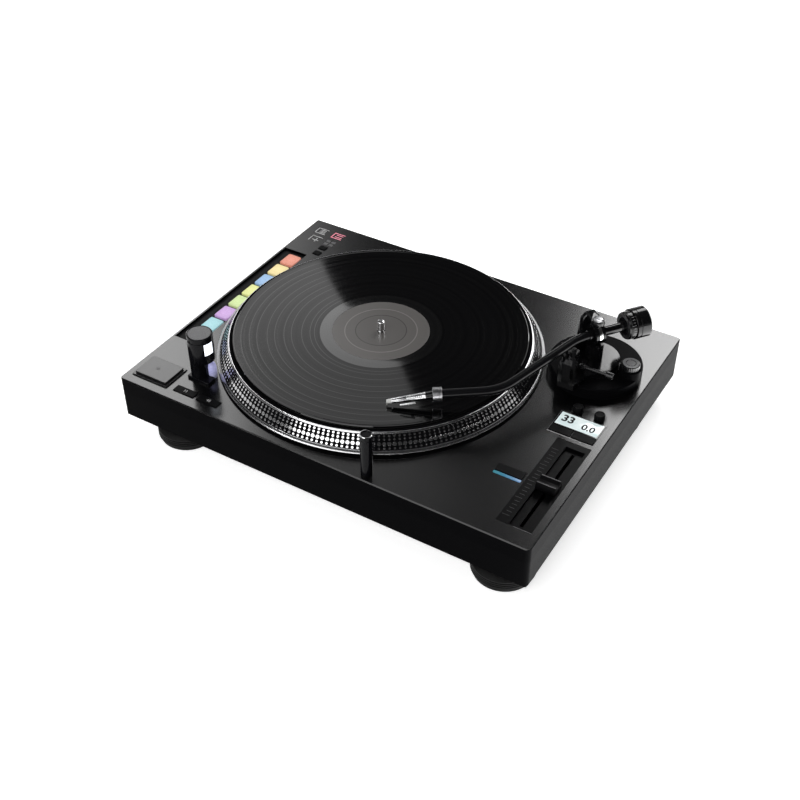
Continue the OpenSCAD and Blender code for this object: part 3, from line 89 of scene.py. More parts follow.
# %% Node helpers
class Graph:
    """A node tree with short calls for what most finishes need."""

    def __init__(self, tree):
        self.tree = tree

    def add(self, kind, *sources, **settings):
        """A new shader node with its settings, its first sockets fed in order."""
        made = self.tree.nodes.new(f"ShaderNode{kind}")
        for label, value in settings.items():
            setattr(made, label, value)
        for socket, source in zip(made.inputs, sources):
            self.feed(socket, source)
        return made

    def feed(self, socket, source):
        """Join a socket to another node's output, or set it to a plain value."""
        if isinstance(source, bpy.types.NodeSocket):
            self.tree.links.new(source, socket)
        else:
            socket.default_value = source

    def mix(self, mask, first, second):
        """First colour where the mask is 0, second colour where it is 1."""
        made = self.add("Mix", mask, data_type="RGBA")
        self.feed(made.inputs[6], first)
        self.feed(made.inputs[7], second)
        return made.outputs[2]

    def spread(self, value, low, high, start=0.0, end=1.0):
        """Move a value from the range start to end into the range low to high, held at its ends."""
        return self.add("MapRange", value, start, end, low, high).outputs["Result"]

    def rise(self, value, start, width):
        """A mask that rises from 0 to 1 over a width from a start, both in millimetres."""
        return self.spread(value, 0.0, 1.0, start * MM, (start + width) * MM)

    def maths(self, operation, first, second=0.0):
        """One sum of two values."""
        return self.add("Math", first, second, operation=operation).outputs[0]

    def vector(self, operation, *sources):
        """The outputs of one sum of vectors."""
        return self.add("VectorMath", *sources, operation=operation).outputs

    def here(self):
        """The point being shaded, in the object's own coordinates."""
        return self.add("TexCoord").outputs["Object"]

    def part(self, vector, axis):
        """One coordinate of a vector."""
        return self.add("SeparateXYZ", vector).outputs[axis]

    def upward(self):
        """How far the surface looks up, from -1 to 1."""
        return self.part(self.add("NewGeometry").outputs["Normal"], "Z")

    def noise(self, detail, low=0.3, high=0.7, dimensions="3D", **sources):
        """A noise whose values from low to high are spread over 0 to 1."""
        made = self.add("TexNoise", noise_dimensions=dimensions)
        for label, source in {"Detail": detail, **sources}.items():
            self.feed(made.inputs[label], source)
        return self.spread(made.outputs["Fac"], 0.0, 1.0, low, high)

    def end(self, kind, shader):
        """Send a shader to the output of a material or a world."""
        self.feed(self.add(f"Output{kind}").inputs["Surface"], shader.outputs[0])


def grey(level, blue=0.0):
    """A grey of linear light, with a trace of blue."""
    return (level, level, level + blue, 1)


def greys(dark, light, blue=0.0):
    """The two greys between which a surface varies."""
    return grey(dark, blue), grey(light, blue)


def paint(red, green, blue):
    """A scene colour from the 0 to 255 numbers of a colour chart."""
    def linear(level):
        share = level / 255
        return share / 12.92 if share <= 0.04045 else ((share + 0.055) / 1.055) ** 2.4
    return (linear(red), linear(green), linear(blue), 1.0)


WHITE = grey(1.0)
print("mid grey 128 is", round(paint(128, 128, 128)[0], 3), "in linear light")

# %% [markdown]
# ## The white table and the studio air
# The turntable stands on a white sweep that runs up behind it. The floor is a diffuse disc whose
# own glow, seen only by the camera and by mirror-like rays, lifts it to white and leaves the soft
# contact shadow. Further out the glow takes over, so floor and background meet without a line. On
# the right, painted light lies on the floor: a patch of glow that only mirror-like rays see, which
# the shell's right side mirrors.
# The air around gives an even, weak fill, and gloss sees white only near the horizon, as it would
# see the sweep in a dark studio.

# %% Floor and air
FLOOR_REACH, MATT_TO, GLOW_FROM = 9.0, 0.45, 1.5
# The painted light on the floor's right: where it starts, where it is full, and its glow level.
PAINTED_POOL_EDGE, PAINTED_POOL_FULL, PAINTED_POOL_LEVEL = 0.2, 0.3, 4.0


def studio_piece(name, shape, place=Matrix()):
    """A mesh of the studio in its place, and the empty graph of its material."""
    mesh = bpy.data.meshes.new(name)
    shape.to_mesh(mesh)
    shape.free()
    made = bpy.data.objects.new(name, mesh)
    scene.collection.objects.link(made)
    made.matrix_world = place
    material = bpy.data.materials.new(name)
    material.use_nodes = True
    material.node_tree.nodes.clear()
    mesh.materials.append(material)
    return made, Graph(material.node_tree)


disc = bmesh.new()
bmesh.ops.create_circle(disc, cap_ends=True, radius=FLOOR_REACH, segments=96)
graph = studio_piece("white_sweep", disc)[1]
rays = graph.add("LightPath").outputs
far = graph.spread(graph.vector("LENGTH", graph.here())["Value"], 0.0, 1.0, MATT_TO, GLOW_FROM)
mirrored = graph.maths("MAXIMUM", rays["Is Glossy Ray"], rays["Is Transmission Ray"])
seen = graph.maths("MAXIMUM", rays["Is Camera Ray"], mirrored)
# Painted light: a glow on the floor's right that only mirror-like rays see.
painted_pool = graph.maths("MULTIPLY", rays["Is Glossy Ray"],
                   graph.spread(graph.part(graph.here(), "X"), 0.0, PAINTED_POOL_LEVEL, PAINTED_POOL_EDGE, PAINTED_POOL_FULL))
level = graph.maths("ADD", painted_pool, graph.maths("MULTIPLY", seen, graph.spread(far, 0.7, 1.0)))
matt = graph.add("BsdfDiffuse", graph.mix(far, grey(0.86), grey(0.0)))
glow = graph.add("Emission", WHITE, level)
graph.end("Material", graph.add("AddShader", matt.outputs[0], glow.outputs[0]))

air = bpy.data.worlds.new("studio_air")
scene.world = air
air.use_nodes = True
air.node_tree.nodes.clear()
graph = Graph(air.node_tree)
rays = graph.add("LightPath").outputs
height = graph.part(graph.add("TexCoord").outputs["Generated"], "Z")
mirrored = graph.maths("MAXIMUM", rays["Is Glossy Ray"], rays["Is Transmission Ray"])
fill = graph.spread(mirrored, 0.2, graph.spread(height, 0.8, 0.024, 0.08, 0.28))
shown = graph.spread(rays["Is Camera Ray"], fill, 1.0)
graph.end("World", graph.add("Background", WHITE, shown))
print("floor", FLOOR_REACH, "m from its middle to its edge")

# %% [markdown]
# ## Softboxes
# Black lacquer shows little of its own colour; what the eye sees are the lamps mirrored in it. So
# the lamps are panels with a place and a size: one high on the left for the sheen on the start
# button's side, one whose edge cuts the sheen on the record, one at the back right for the bright
# right end of the deck, a key light in front for the bright dots of the rim, low ones at the left
# and behind for the dots of its sides, and a narrow one for the deck's front edge. Each panel glows
# on its front only and can fade along its length.

# %% Softbox panels
CEILING = 1.57


def softbox(name, place, width, depth, strong, weak=None):
    """A glowing panel of one side whose light runs from strong to weak along its own x axis."""
    shape = bmesh.new()
    bmesh.ops.create_grid(shape, x_segments=1, y_segments=1, size=0.5)
    bmesh.ops.scale(shape, vec=(width, depth, 1), verts=shape.verts)
    panel, graph = studio_piece(name, shape, place)
    panel.visible_camera = False
    weak = strong if weak is None else weak
    level = graph.spread(graph.part(graph.here(), "X"), strong, weak, -width / 2, width / 2)
    front = graph.maths("SUBTRACT", 1.0, graph.add("NewGeometry").outputs["Backfacing"])
    graph.end("Material", graph.add("Emission", WHITE, graph.maths("MULTIPLY", front, level)))
    print(name, "at", [round(v, 2) for v in place.translation], "level", strong, "to", weak)


def turn(degrees, axis):
    """A turn about one of the axes."""
    return Matrix.Rotation(math.radians(degrees), 4, axis)


def overhead(x, y, swing, drop=0.0):
    """The place of a panel that hangs level under the ceiling and faces down."""
    return Matrix.Translation((x, y, CEILING - drop)) @ turn(swing, "Z") @ turn(180, "X")


def facing(spot, target=(0, 0, 0.08)):
    """The place of a panel at a spot, turned to a target."""
    aim = (Vector(target) - Vector(spot)).to_track_quat("Z", "Y")
    return Matrix.Translation(spot) @ aim.to_matrix().to_4x4()


softbox("left_softbox", overhead(-1.62, 1.18, 45, 0.03), 0.5, 1.0, 6.0, 5.8)
softbox("left_back_softbox", overhead(-1.85, 1.95, 0, 0.03), 0.46, 0.8, 2.4, 2.0)
softbox("record_softbox", overhead(-1.44, 1.21, -36.9), 1.7, 1.1, 1.6, 0.5)
softbox("right_softbox", overhead(0.03, 2.0, -67), 1.4, 1.0, 10.0)
softbox("key_softbox", facing((-0.14, -1.6, 1.05)), 1.4, 1.5, 2.4)
softbox("left_low_softbox", facing((-2.3, 0.8, 0.62)), 1.6, 0.8, 0.7)
softbox("back_low_softbox", facing((0.75, 2.6, 0.62)), 1.9, 0.8, 0.9)
softbox("edge_softbox", facing((-0.82, -1.46, 1.46), (0, -0.18, 0.07)), 1.0, 0.16, 15.0)

# %% [markdown]
# ## Shared surface effects
# Four effects turn up on many pieces, so each is a node group that is built once. Moulded plastic
# has a fine grain, anything made on a lathe has rings round its axis, brushed metal has streaks
# that are long one way and short the other, and a little dust settles on faces that look up.

# %% Effect groups
class Effect(Graph):
    """A node group with named inputs, whose outputs are plain values."""

    def __init__(self, name, outputs, **inputs):
        super().__init__(bpy.data.node_groups.new(name, "ShaderNodeTree"))
        sockets = self.tree.interface
        for label, value in inputs.items():
            kind = "NodeSocketFloat" if isinstance(value, float) else "NodeSocketVector"
            sockets.new_socket(name=label, in_out="INPUT", socket_type=kind).default_value = value
        for label in outputs:
            sockets.new_socket(name=label, in_out="OUTPUT", socket_type="NodeSocketFloat")
        self.given = self.tree.nodes.new("NodeGroupInput").outputs
        self.result = self.tree.nodes.new("NodeGroupOutput").inputs


moulded_grain = group = Effect("moulded_grain", ["Mask"], Scale=900.0)
group.feed(group.result["Mask"], group.noise(3.0, Vector=group.here(), Scale=group.given["Scale"]))

turning_marks = group = Effect("turning_marks", ["Radius", "Rings"], Centre=(0, 0, 0), Lines=900.0)
offset = group.vector("SUBTRACT", group.here(), group.given["Centre"])[0]
radius = group.vector("LENGTH", group.vector("MULTIPLY", offset, (1, 1, 0))[0])["Value"]
group.feed(group.result["Radius"], radius)
group.feed(group.result["Rings"], group.noise(2.0, dimensions="1D", W=radius, Scale=group.given["Lines"]))

brushed_streaks = group = Effect("brushed_streaks", ["Mask"], Stretch=(30, 2500, 2500))
stretched = group.vector("MULTIPLY", group.here(), group.given["Stretch"])[0]
group.feed(group.result["Mask"], group.noise(2.0, Vector=stretched, Scale=1.0))

settled_dust = group = Effect("settled_dust", ["Mask"], Amount=0.05)
lying = group.maths("MULTIPLY", group.noise(6.0, 0.35, 0.75, Vector=group.here(), Scale=45.0),
                    group.spread(group.upward(), 0.0, 1.0, 0.3, 0.9))
group.feed(group.result["Mask"], group.maths("MULTIPLY", lying, group.given["Amount"]))
print("effect groups:", [g.name for g in bpy.data.node_groups])

# %% [markdown]
# ## Finishes
# Each finish is one Principled shader. What varies over the surface, such as grain or streaks,
# reaches its colour, roughness and bump through the groups; what is the same all over is set on
# the shader's own sockets, so that it survives an export. Plastic, metal and lit surfaces each have
# a recipe of their own.

# %% Finish helpers
DUST = (0.35, 0.34, 0.33, 1.0)


class Finish(Graph):
    """A material with one Principled shader, its constant sockets set."""

    def __init__(self, name, **sockets):
        self.material = bpy.data.materials.new(name)
        self.material.use_nodes = True
        super().__init__(self.material.node_tree)
        self.inputs = self.tree.nodes["Principled BSDF"].inputs
        for label, value in sockets.items():
            self.inputs[label.replace("_", " ")].default_value = value

    def set(self, label, source):
        """Feed a socket of the shader."""
        self.feed(self.inputs[label], source)

    def use(self, effect, **values):
        """The outputs of an effect group with its own values."""
        made = self.add("Group", node_tree=effect.tree)
        for label, value in values.items():
            made.inputs[label].default_value = value
        return made.outputs

    def grain(self, scale):
        """The mask of a moulded grain."""
        return self.use(moulded_grain, Scale=scale)["Mask"]

    def dusty(self, mask, colours, amount):
        """Two colours by a mask, under settled dust."""
        film = self.use(settled_dust, Amount=amount)["Mask"]
        return self.mix(film, self.mix(mask, *colours), DUST)

    def surface(self, mask, colour, rough, depth=0.0):
        """Set the colour, let a mask vary the roughness, and emboss it to a depth in millimetres."""
        self.set("Base Color", colour)
        self.set("Roughness", self.spread(mask, *rough))
        if depth:
            bump = self.add("Bump")
            for label, value in (("Distance", depth * MM), ("Strength", 0.6), ("Height", mask)):
                self.feed(bump.inputs[label], value)
            self.set("Normal", bump.outputs[0])


def plastic(name, colours, rough=(0.3, 0.42), scale=1500.0, depth=0.03, dust=0.02, sheen=0.5, **sockets):
    """Moulded or painted plastic with a fine grain and a trace of dust."""
    finish = Finish(name, Specular_IOR_Level=sheen, **sockets)
    grain = finish.grain(scale)
    finish.surface(grain, finish.dusty(grain, colours, dust), rough, depth)
    return finish.material


def metal(name, colours, rough=(0.2, 0.32), stretch=(2500, 2500, 40), depth=0.01):
    """Bare or plated metal with fine streaks."""
    finish = Finish(name, Metallic=1.0)
    streaks = finish.use(brushed_streaks, Stretch=stretch)["Mask"]
    finish.surface(streaks, finish.mix(streaks, *colours), rough, depth)
    return finish.material


def turned_metal(name, centre, colours, rough=(0.2, 0.32), lines=2600.0, depth=0.01):
    """Metal off the lathe, with fine rings round an upright axis."""
    finish = Finish(name, Metallic=1.0)
    rings = finish.use(turning_marks, Centre=centre, Lines=lines)["Rings"]
    finish.surface(rings, finish.mix(rings, *colours), rough, depth)
    return finish.material


def lit(name, strength, scale, colours, glows, rough, fade=None):
    """A lit surface with two colours of its own and two of its light.

    With fade, a colour takes over a share of the light from near to far of a centre, in millimetres.
    """
    finish = Finish(name, Emission_Strength=strength)
    grain = finish.grain(scale)
    finish.surface(grain, finish.mix(grain, *colours), rough)
    glow = finish.mix(grain, *glows)
    if fade:
        centre, near, far, share, colour = fade
        away = finish.vector("DISTANCE", finish.here(), centre)["Value"]
        glow = finish.mix(finish.spread(away, 0.0, share, near * MM, far * MM), glow, colour)
    finish.set("Emission Color", glow)
    return finish.material


def dress(finish, *names):
    """Give solids of the drawing a finish."""
    for name in names:
        slots = solids[name].data.materials
        slots.clear()
        slots.append(finish)
    print(finish.name, "on", ", ".join(names))


def middle(name):
    """The middle of a solid's box."""
    low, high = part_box(name)
    return (low + high) / 2

# %% [markdown]
# ## Deck and shell
# The deck is charcoal lacquer: nearly black from the side, but its level top mirrors the lamps. A
# clear coat that is strong only on faces that look up gives both. The shell below is plain black
# paint with a fine grain.

# %% Deck and shell finishes
BLACK_LACQUER = greys(0.0012, 0.0024, 0.0004)

lacquer = Finish("deck_lacquer", Specular_IOR_Level=0.01, Coat_Roughness=0.19, Coat_IOR=1.5)
grain = lacquer.grain(1100.0)
lacquer.surface(grain, lacquer.dusty(grain, BLACK_LACQUER, 0.006), (0.42, 0.55), 0.003)
lacquer.set("Coat Weight", lacquer.spread(lacquer.upward(), 0.0, 1.0, 0.1, 0.6))
dress(lacquer.material, "top_cover")
dress(plastic("shell_paint", BLACK_LACQUER, (0.4, 0.55), depth=0.02, dust=0.003, sheen=0.012), "base_shell")

# %% [markdown]
# ## Inside and behind
# The drive's parts sit in the dark, but a part library may show them: copper coils, a brass
# bearing, a green circuit board, zinc-plated screws. Each gets a finish of its own.

# %% Finishes for the inner parts
dress(metal("zinc_screws", greys(0.45, 0.62, 0.01), (0.28, 0.42)), "cover_screws")
dress(plastic("board_green", ((0.012, 0.09, 0.035, 1), (0.02, 0.13, 0.05, 1)), (0.3, 0.45), 600.0),
      "circuit_board")
dress(metal("coil_copper", ((0.5, 0.2, 0.08, 1), (0.7, 0.32, 0.15, 1)), (0.25, 0.4), (60, 60, 3000), 0.05),
      "motor_stator")
dress(turned_metal("bearing_brass", middle("spindle"), ((0.55, 0.4, 0.13, 1), (0.72, 0.55, 0.22, 1))),
      "bearing_housing")
dress(plastic("magnet_grey", greys(0.06, 0.1, 0.005), (0.4, 0.6), 900.0), "rotor_magnet")
dress(plastic("panel_black", greys(0.012, 0.02, 0.001), (0.4, 0.55), 900.0, 0.05), "connector_panel")
dress(plastic("socket_black", greys(0.008, 0.014, 0.001), (0.3, 0.4)), "rear_sockets")
dress(plastic("mat_felt", greys(0.008, 0.03), (0.85, 0.95), 2200.0, 0.2), "slipmat")

# %% [markdown]
# ## Controls and tonearm finishes
# The small controls are soft-touch black plastic, the tonearm's castings are gloss black, its
# tube is dark satin metal, and a few parts are chrome so that they catch the lamps.

# %% Finishes for the controls and the arm
INK = {"rough": (0.45, 0.6), "scale": 2200.0, "depth": 0.0, "dust": 0.0}

tray_black = plastic("tray_black", greys(0.003, 0.006, 0.0005), (0.4, 0.5), dust=0.004, sheen=0.1)
button_black = plastic("button_black", greys(0.0025, 0.005, 0.0005), (0.34, 0.46), dust=0.004, sheen=0.05)
arm_gloss = plastic("arm_gloss", greys(0.003, 0.006, 0.0007), (0.1, 0.17), 1800.0, 0.006, 0.006, 0.3)
arm_satin = plastic("arm_satin", greys(0.005, 0.01, 0.001), (0.2, 0.3), 1800.0, 0.01, 0.01)
chrome = metal("chrome", greys(0.72, 0.85, 0.01), (0.06, 0.14), (400, 400, 60), 0.002)
satin_steel = metal("satin_steel", greys(0.3, 0.42, 0.01), (0.28, 0.4), (900, 900, 900))
# The two print finishes below also carry painted highlights: bright bars on the display's and the fader's front
# edges and on the slider's ridges.
print_and_highlight_white = plastic("print_and_highlight_white", greys(0.5, 0.66), **INK)
print_and_highlight_grey = plastic("print_and_highlight_grey", greys(0.08, 0.12, 0.005), **INK)
print_dim = plastic("print_dim", greys(0.025, 0.04, 0.002), **INK)
dress(tray_black, "pad_tray")
dress(plastic("fader_black", greys(0.0015, 0.003, 0.0004), (0.3, 0.4), dust=0.003, sheen=0.05), "fader_plate")
dress(plastic("display_gloss", greys(0.004, 0.008, 0.001), (0.04, 0.09), 300.0, 0.0, 0.006), "display_window")
dress(plastic("base_black", greys(0.003, 0.005, 0.0007), (0.24, 0.34), 1600.0, 0.004, 0.004, 0.008), "arm_base")
dress(arm_gloss, "arm_carriage", "gimbal_yoke", "pivot_block", "cue_bar", "arm_rest", "arm_clip")
dress(arm_satin, "height_ring", "cue_lever")
dress(plastic("tube_dark", greys(0.005, 0.009, 0.001), (0.16, 0.22), 1500.0, 0.003, 0.006, 0.14), "arm_tube")
dress(turned_metal("spindle_chrome", middle("spindle"), greys(0.7, 0.86, 0.01), (0.06, 0.14), 1400.0, 0.002),
      "spindle")
dress(plastic("stylus_white", greys(0.72, 0.82, -0.02), (0.3, 0.4), 900.0), "stylus")

# %% [markdown]
# ## Making a piece
# Most parts of a turntable come off a lathe or out of a mould, so two starts cover nearly all:
# a profile spun round an axis, and a block with its corners rounded. Edges are rounded by a bevel,
# because only a rounded edge catches a highlight. The last call merges what coincides, turns the
# faces outwards and hangs the piece on its body.

# %% Piece helpers
def mm(x, y, z):
    """A point or a step given in millimetres."""
    return Vector((x, y, z)) * MM


def at_height(point, z):
    """A point moved to a height."""
    return Vector((point[0], point[1], z))


def axis_of(name):
    """The foot of a solid's upright axis, at table height."""
    return at_height(middle(name), 0)


def top_of(name, lift=0.0):
    """The middle of a solid's top, raised by some millimetres."""
    return at_height(middle(name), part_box(name)[1].z + lift * MM)


def placed(shape, place):
    """A shape moved by a matrix."""
    bmesh.ops.transform(shape, matrix=place, verts=shape.verts)
    return shape


def tidy(shape):
    """Merge what coincides and turn the faces outwards."""
    bmesh.ops.remove_doubles(shape, verts=shape.verts, dist=0.0005 * MM)
    bmesh.ops.recalc_face_normals(shape, faces=shape.faces)
    shape.normal_update()


def turned(profile, centre=(0, 0, 0), steps=96, closed=False):
    """Spin a profile of radius and height in millimetres round the upright axis through a centre."""
    shape = bmesh.new()
    if closed:
        profile = profile + profile[:1]
    points = [shape.verts.new((r * MM, 0, z * MM)) for r, z in profile]
    lines = [shape.edges.new(pair) for pair in zip(points, points[1:])]
    bmesh.ops.spin(shape, geom=points + lines, axis=(0, 0, 1), cent=(0, 0, 0), angle=math.tau, steps=steps,
                   use_merge=True)
    tidy(shape)
    return placed(shape, Matrix.Translation(centre))


def round_edges(shape, width, segments=3, sharper=30.0, chosen=None):
    """Bevel the sharp edges, or those that a test picks out."""
    limit = math.radians(sharper)
    edges = [e for e in shape.edges if len(e.link_faces) == 2 and e.calc_face_angle() > limit
             and (chosen is None or chosen(e))]
    bmesh.ops.bevel(shape, geom=edges, offset=width * MM, offset_type="OFFSET", affect="EDGES",
                    segments=segments, profile=0.5, material=-1, clamp_overlap=True)
    return shape


def block(low, high):
    """A plain block between two corners."""
    shape = bmesh.new()
    bmesh.ops.create_cube(shape, size=1)
    bmesh.ops.scale(shape, vec=high - low, verts=shape.verts)
    bmesh.ops.translate(shape, vec=(low + high) / 2, verts=shape.verts)
    return shape


def rounded_block(low, high, corner, rim, segments=3):
    """A block with round upright corners and a softer rim round its top."""
    shape = block(low, high)
    top = max(v.co.z for v in shape.verts)
    round_edges(shape, corner, segments, chosen=lambda e: abs(e.verts[0].co.z - e.verts[1].co.z) > 0.1 * MM)
    shape.normal_update()
    round_edges(shape, rim, segments, chosen=lambda e: min(v.co.z for v in e.verts) > top - 0.001 * MM)
    return shape


def join(*shapes):
    """Several meshes as one."""
    whole = bmesh.new()
    for shape in shapes:
        mesh = bpy.data.meshes.new("part_of_a_piece")
        shape.to_mesh(mesh)
        shape.free()
        whole.from_mesh(mesh)
        bpy.data.meshes.remove(mesh)
    return whole


def copy_of(name):
    """A merged copy of a solid, with its flat faces whole again."""
    shape = bmesh.new()
    shape.from_mesh(solids[name].data)
    tidy(shape)
    bmesh.ops.dissolve_limit(shape, angle_limit=math.radians(0.5), verts=shape.verts, edges=shape.edges)
    return shape


def piece(shape, name, body, finish, slot, *stands_for, smooth=35.0, flat_faces=False):
    """Make the mesh a piece that rides on a body and may stand for solids of the drawing.

    With flat_faces the shading of a bevel stays on the bevel: each point leans to its largest face.
    """
    tidy(shape)
    mesh = bpy.data.meshes.new(name)
    shape.to_mesh(mesh)
    mesh.shade_smooth()
    if flat_faces:
        mesh.normals_split_custom_set_from_vertices([
            sum((f.normal * f.calc_area() ** 2 for f in v.link_faces), Vector()).normalized()
            for v in shape.verts])
    else:
        mesh.set_sharp_from_angle(angle=math.radians(smooth))
    shape.free()
    mesh.materials.append(finish)
    made = bpy.data.objects.new(name, mesh)
    scene.collection.objects.link(made)
    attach(made, body)
    if stands_for:
        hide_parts(*stands_for)
    print(f"{name}: {len(mesh.polygons)} faces on {body}")

# %% [markdown]
# ## Platter
# The platter is a heavy casting with a sloping rim. It is painted black, and the shoulder above
# the rim and the foot below it are turned bright. One mesh is enough: the finish looks at the
# height and the radius to tell paint from bare metal.

# %% Platter
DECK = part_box("top_cover")[1].z / MM
AXIS = axis_of("spindle")
RIM_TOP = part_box("platter")[1].z / MM
FOOT_RING_R, RIM_FOOT_R, RIM_SHOULDER_R, RIM_TOP_R, SEAT_R = 168.4, 165.5, 156.2, 155.2, 151.8
RIM_UNDER, SLOPE_LOW, SLOPE_HIGH, SEAT, DISC_UNDER = 74.5, 76.5, 89.8, 90.3, 84.5
HUB_R, HUB_BORE, HUB_UNDER = 13, 4.6, 73.5

rim = Finish("platter_rim", Specular_IOR_Level=0.0)
marks = rim.use(turning_marks, Centre=AXIS, Lines=1900.0)
height = rim.part(rim.here(), "Z")
above = rim.rise(height, SLOPE_LOW + 0.2, 0.05)
shoulder = rim.maths("MULTIPLY", rim.rise(marks["Radius"], RIM_TOP_R - 0.5, 0.1),
                     rim.rise(height, SLOPE_HIGH - 0.3, 0.05))
painted = rim.maths("MULTIPLY", above, rim.maths("SUBTRACT", 1.0, shoulder))
bare = rim.mix(marks["Rings"], *greys(0.5, 0.68, 0.01))
black = rim.mix(rim.grain(1600.0), *greys(0.004, 0.008, 0.0007))
rim.set("Base Color", rim.mix(painted, bare, black))
rim.set("Metallic", rim.spread(painted, 1.0, 0.0))
rim.set("Roughness", rim.maths("ADD", rim.spread(marks["Rings"], 0.2, 0.3), rim.spread(painted, 0.0, 0.15)))
platter = turned([
    (HUB_R, DISC_UNDER), (RIM_TOP_R - 7, DISC_UNDER), (RIM_FOOT_R - 10, RIM_UNDER), (FOOT_RING_R, RIM_UNDER),
    (FOOT_RING_R, RIM_UNDER + 0.3), (FOOT_RING_R - 1.5, RIM_UNDER + 1.5), (RIM_FOOT_R, SLOPE_LOW),
    (RIM_SHOULDER_R, SLOPE_HIGH), (RIM_TOP_R, RIM_TOP), (SEAT_R, RIM_TOP), (SEAT_R, SEAT), (HUB_BORE, SEAT),
    (HUB_BORE, HUB_UNDER), (HUB_R, HUB_UNDER)], AXIS, 256, closed=True)
round_edges(platter, 0.35, 2,
            chosen=lambda e: (at_height(e.verts[0].co, 0) - AXIS).length > (SEAT_R - 1) * MM)
piece(platter, "platter_casting", "platter", rim.material, "platter_metal", "platter")

# %% [markdown]
# ## Strobe dots
# Four rows of bright dots stand on the black slope; under a lamp that flickers with the mains,
# one row seems to stand still when the speed is right. A dot is a small disc with eight sides,
# laid on the slope once and then spun round the axis as copies.

# %% Strobe dots
DOT_COUNT, DOT_RISE = 208, 0.08
DOT_ROWS = ((0.14, 1.25), (0.40, 2.0), (0.66, 1.25), (0.86, 1.25))  # share of the slope, radius in mm

slope = Vector((RIM_SHOULDER_R - RIM_FOOT_R, SLOPE_HIGH - SLOPE_LOW))
tilt = math.atan2(-slope.x, slope.y)
rows = []
for share, size in DOT_ROWS:
    row = bmesh.new()
    bmesh.ops.create_cone(row, cap_ends=True, segments=8, radius1=size * MM, radius2=size * 0.95 * MM,
                          depth=DOT_RISE * MM)
    underside = min(row.faces, key=lambda f: f.calc_center_median().z)
    bmesh.ops.delete(row, geom=[underside], context="FACES_ONLY")
    spot = Vector((RIM_FOOT_R, SLOPE_LOW)) + slope * share
    placed(row, Matrix.Translation(AXIS + mm(spot.x, 0, spot.y)) @ Matrix.Rotation(math.pi / 2 - tilt, 4, "Y"))
    bmesh.ops.spin(row, geom=row.verts[:] + row.edges[:] + row.faces[:], axis=(0, 0, 1), cent=AXIS,
                   angle=math.tau * (DOT_COUNT - 1) / DOT_COUNT, steps=DOT_COUNT - 1, use_duplicate=True)
    rows.append(row)
dot_silver = turned_metal("dot_silver", AXIS, greys(0.7, 0.85, 0.01), (0.13, 0.2))
piece(join(*rows), "strobe_dots", "platter", dot_silver, "platter_metal", smooth=20)

# %% [markdown]
# ## Record
# A record is a thin disc with a bead round its edge, a wide band of grooves and a smooth run-out
# band round the label. The grooves are far too fine to model, so the finish stretches its
# highlights across them. The narrow gaps between the tracks and the run-out band are smooth and
# mirror more of the lamps, which a clear coat that is laid on by radius gives.

# %% Record
RECORD_LOW, RECORD_TOP = (corner.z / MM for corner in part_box("record"))
RECORD_R, LABEL_R, HOLE_R, LABEL_SUNK = 150.8, 50.0, 3.75, 0.15
GROOVE_IN, GROOVE_OUT, GROOVE_DIP = 58.0, 147.8, 0.08
TRACK_GAPS = (142.5, 134.0, 126.5, 116.0, 108.5, 99.0, 91.5, 81.0, 72.5, 68.0)
RUN_OUT = 62.5

vinyl = Finish("record_vinyl", Specular_IOR_Level=0.5, Anisotropic=0.6, Anisotropic_Rotation=0.25,
               Coat_Roughness=0.08, Coat_IOR=1.7)
fine = vinyl.use(turning_marks, Centre=AXIS, Lines=1500.0)
broad = vinyl.use(turning_marks, Centre=AXIS, Lines=260.0)
both = vinyl.maths("MULTIPLY", fine["Rings"], broad["Rings"])
vinyl.surface(both, vinyl.mix(both, *greys(0.002, 0.0045, 0.0004)), (0.05, 0.1))
smooth_band = vinyl.spread(fine["Radius"], 1.0, 0.0, (RUN_OUT - 0.2) * MM, (RUN_OUT + 0.2) * MM)
for gap in TRACK_GAPS:
    away = vinyl.maths("ABSOLUTE", vinyl.maths("SUBTRACT", fine["Radius"], gap * MM))
    smooth_band = vinyl.maths("MAXIMUM", smooth_band, vinyl.spread(away, 0.5, 0.0, 0.2 * MM, 0.55 * MM))
vinyl.set("Coat Weight", vinyl.maths("MAXIMUM", smooth_band, vinyl.spread(both, 0.0, 0.12)))
vinyl.set("Tangent", vinyl.add("Tangent", direction_type="RADIAL", axis="Z").outputs[0])
groove, sunk = RECORD_TOP - GROOVE_DIP, RECORD_TOP - LABEL_SUNK
record = turned([
    (HOLE_R, RECORD_LOW), (RECORD_R - 0.6, RECORD_LOW), (RECORD_R, RECORD_LOW + 0.6),
    (RECORD_R, RECORD_TOP - 0.6), (RECORD_R - 0.6, RECORD_TOP), (RECORD_R - 2, RECORD_TOP),
    (GROOVE_OUT, groove), (GROOVE_IN, groove), (GROOVE_IN - 2, RECORD_TOP), (LABEL_R + 0.05, RECORD_TOP),
    (LABEL_R, sunk), (HOLE_R, sunk)], AXIS, 256, closed=True)
piece(record, "record_disc", "record", vinyl.material, "vinyl_black", "record", smooth=4)

# %% [markdown]
# ## Label
# The label is a paper disc in a shallow seat. Its print is plain: a colour ramp over the radius gives
# flat fields of warm grey and one thin ring, and the paper's fibres add a fine grain.

# %% Label
LABEL_FIELDS = ((0.0, 0.098), (0.51, 0.047), (0.53, 0.104), (0.73, 0.2), (0.75, 0.11))  # radius share, grey

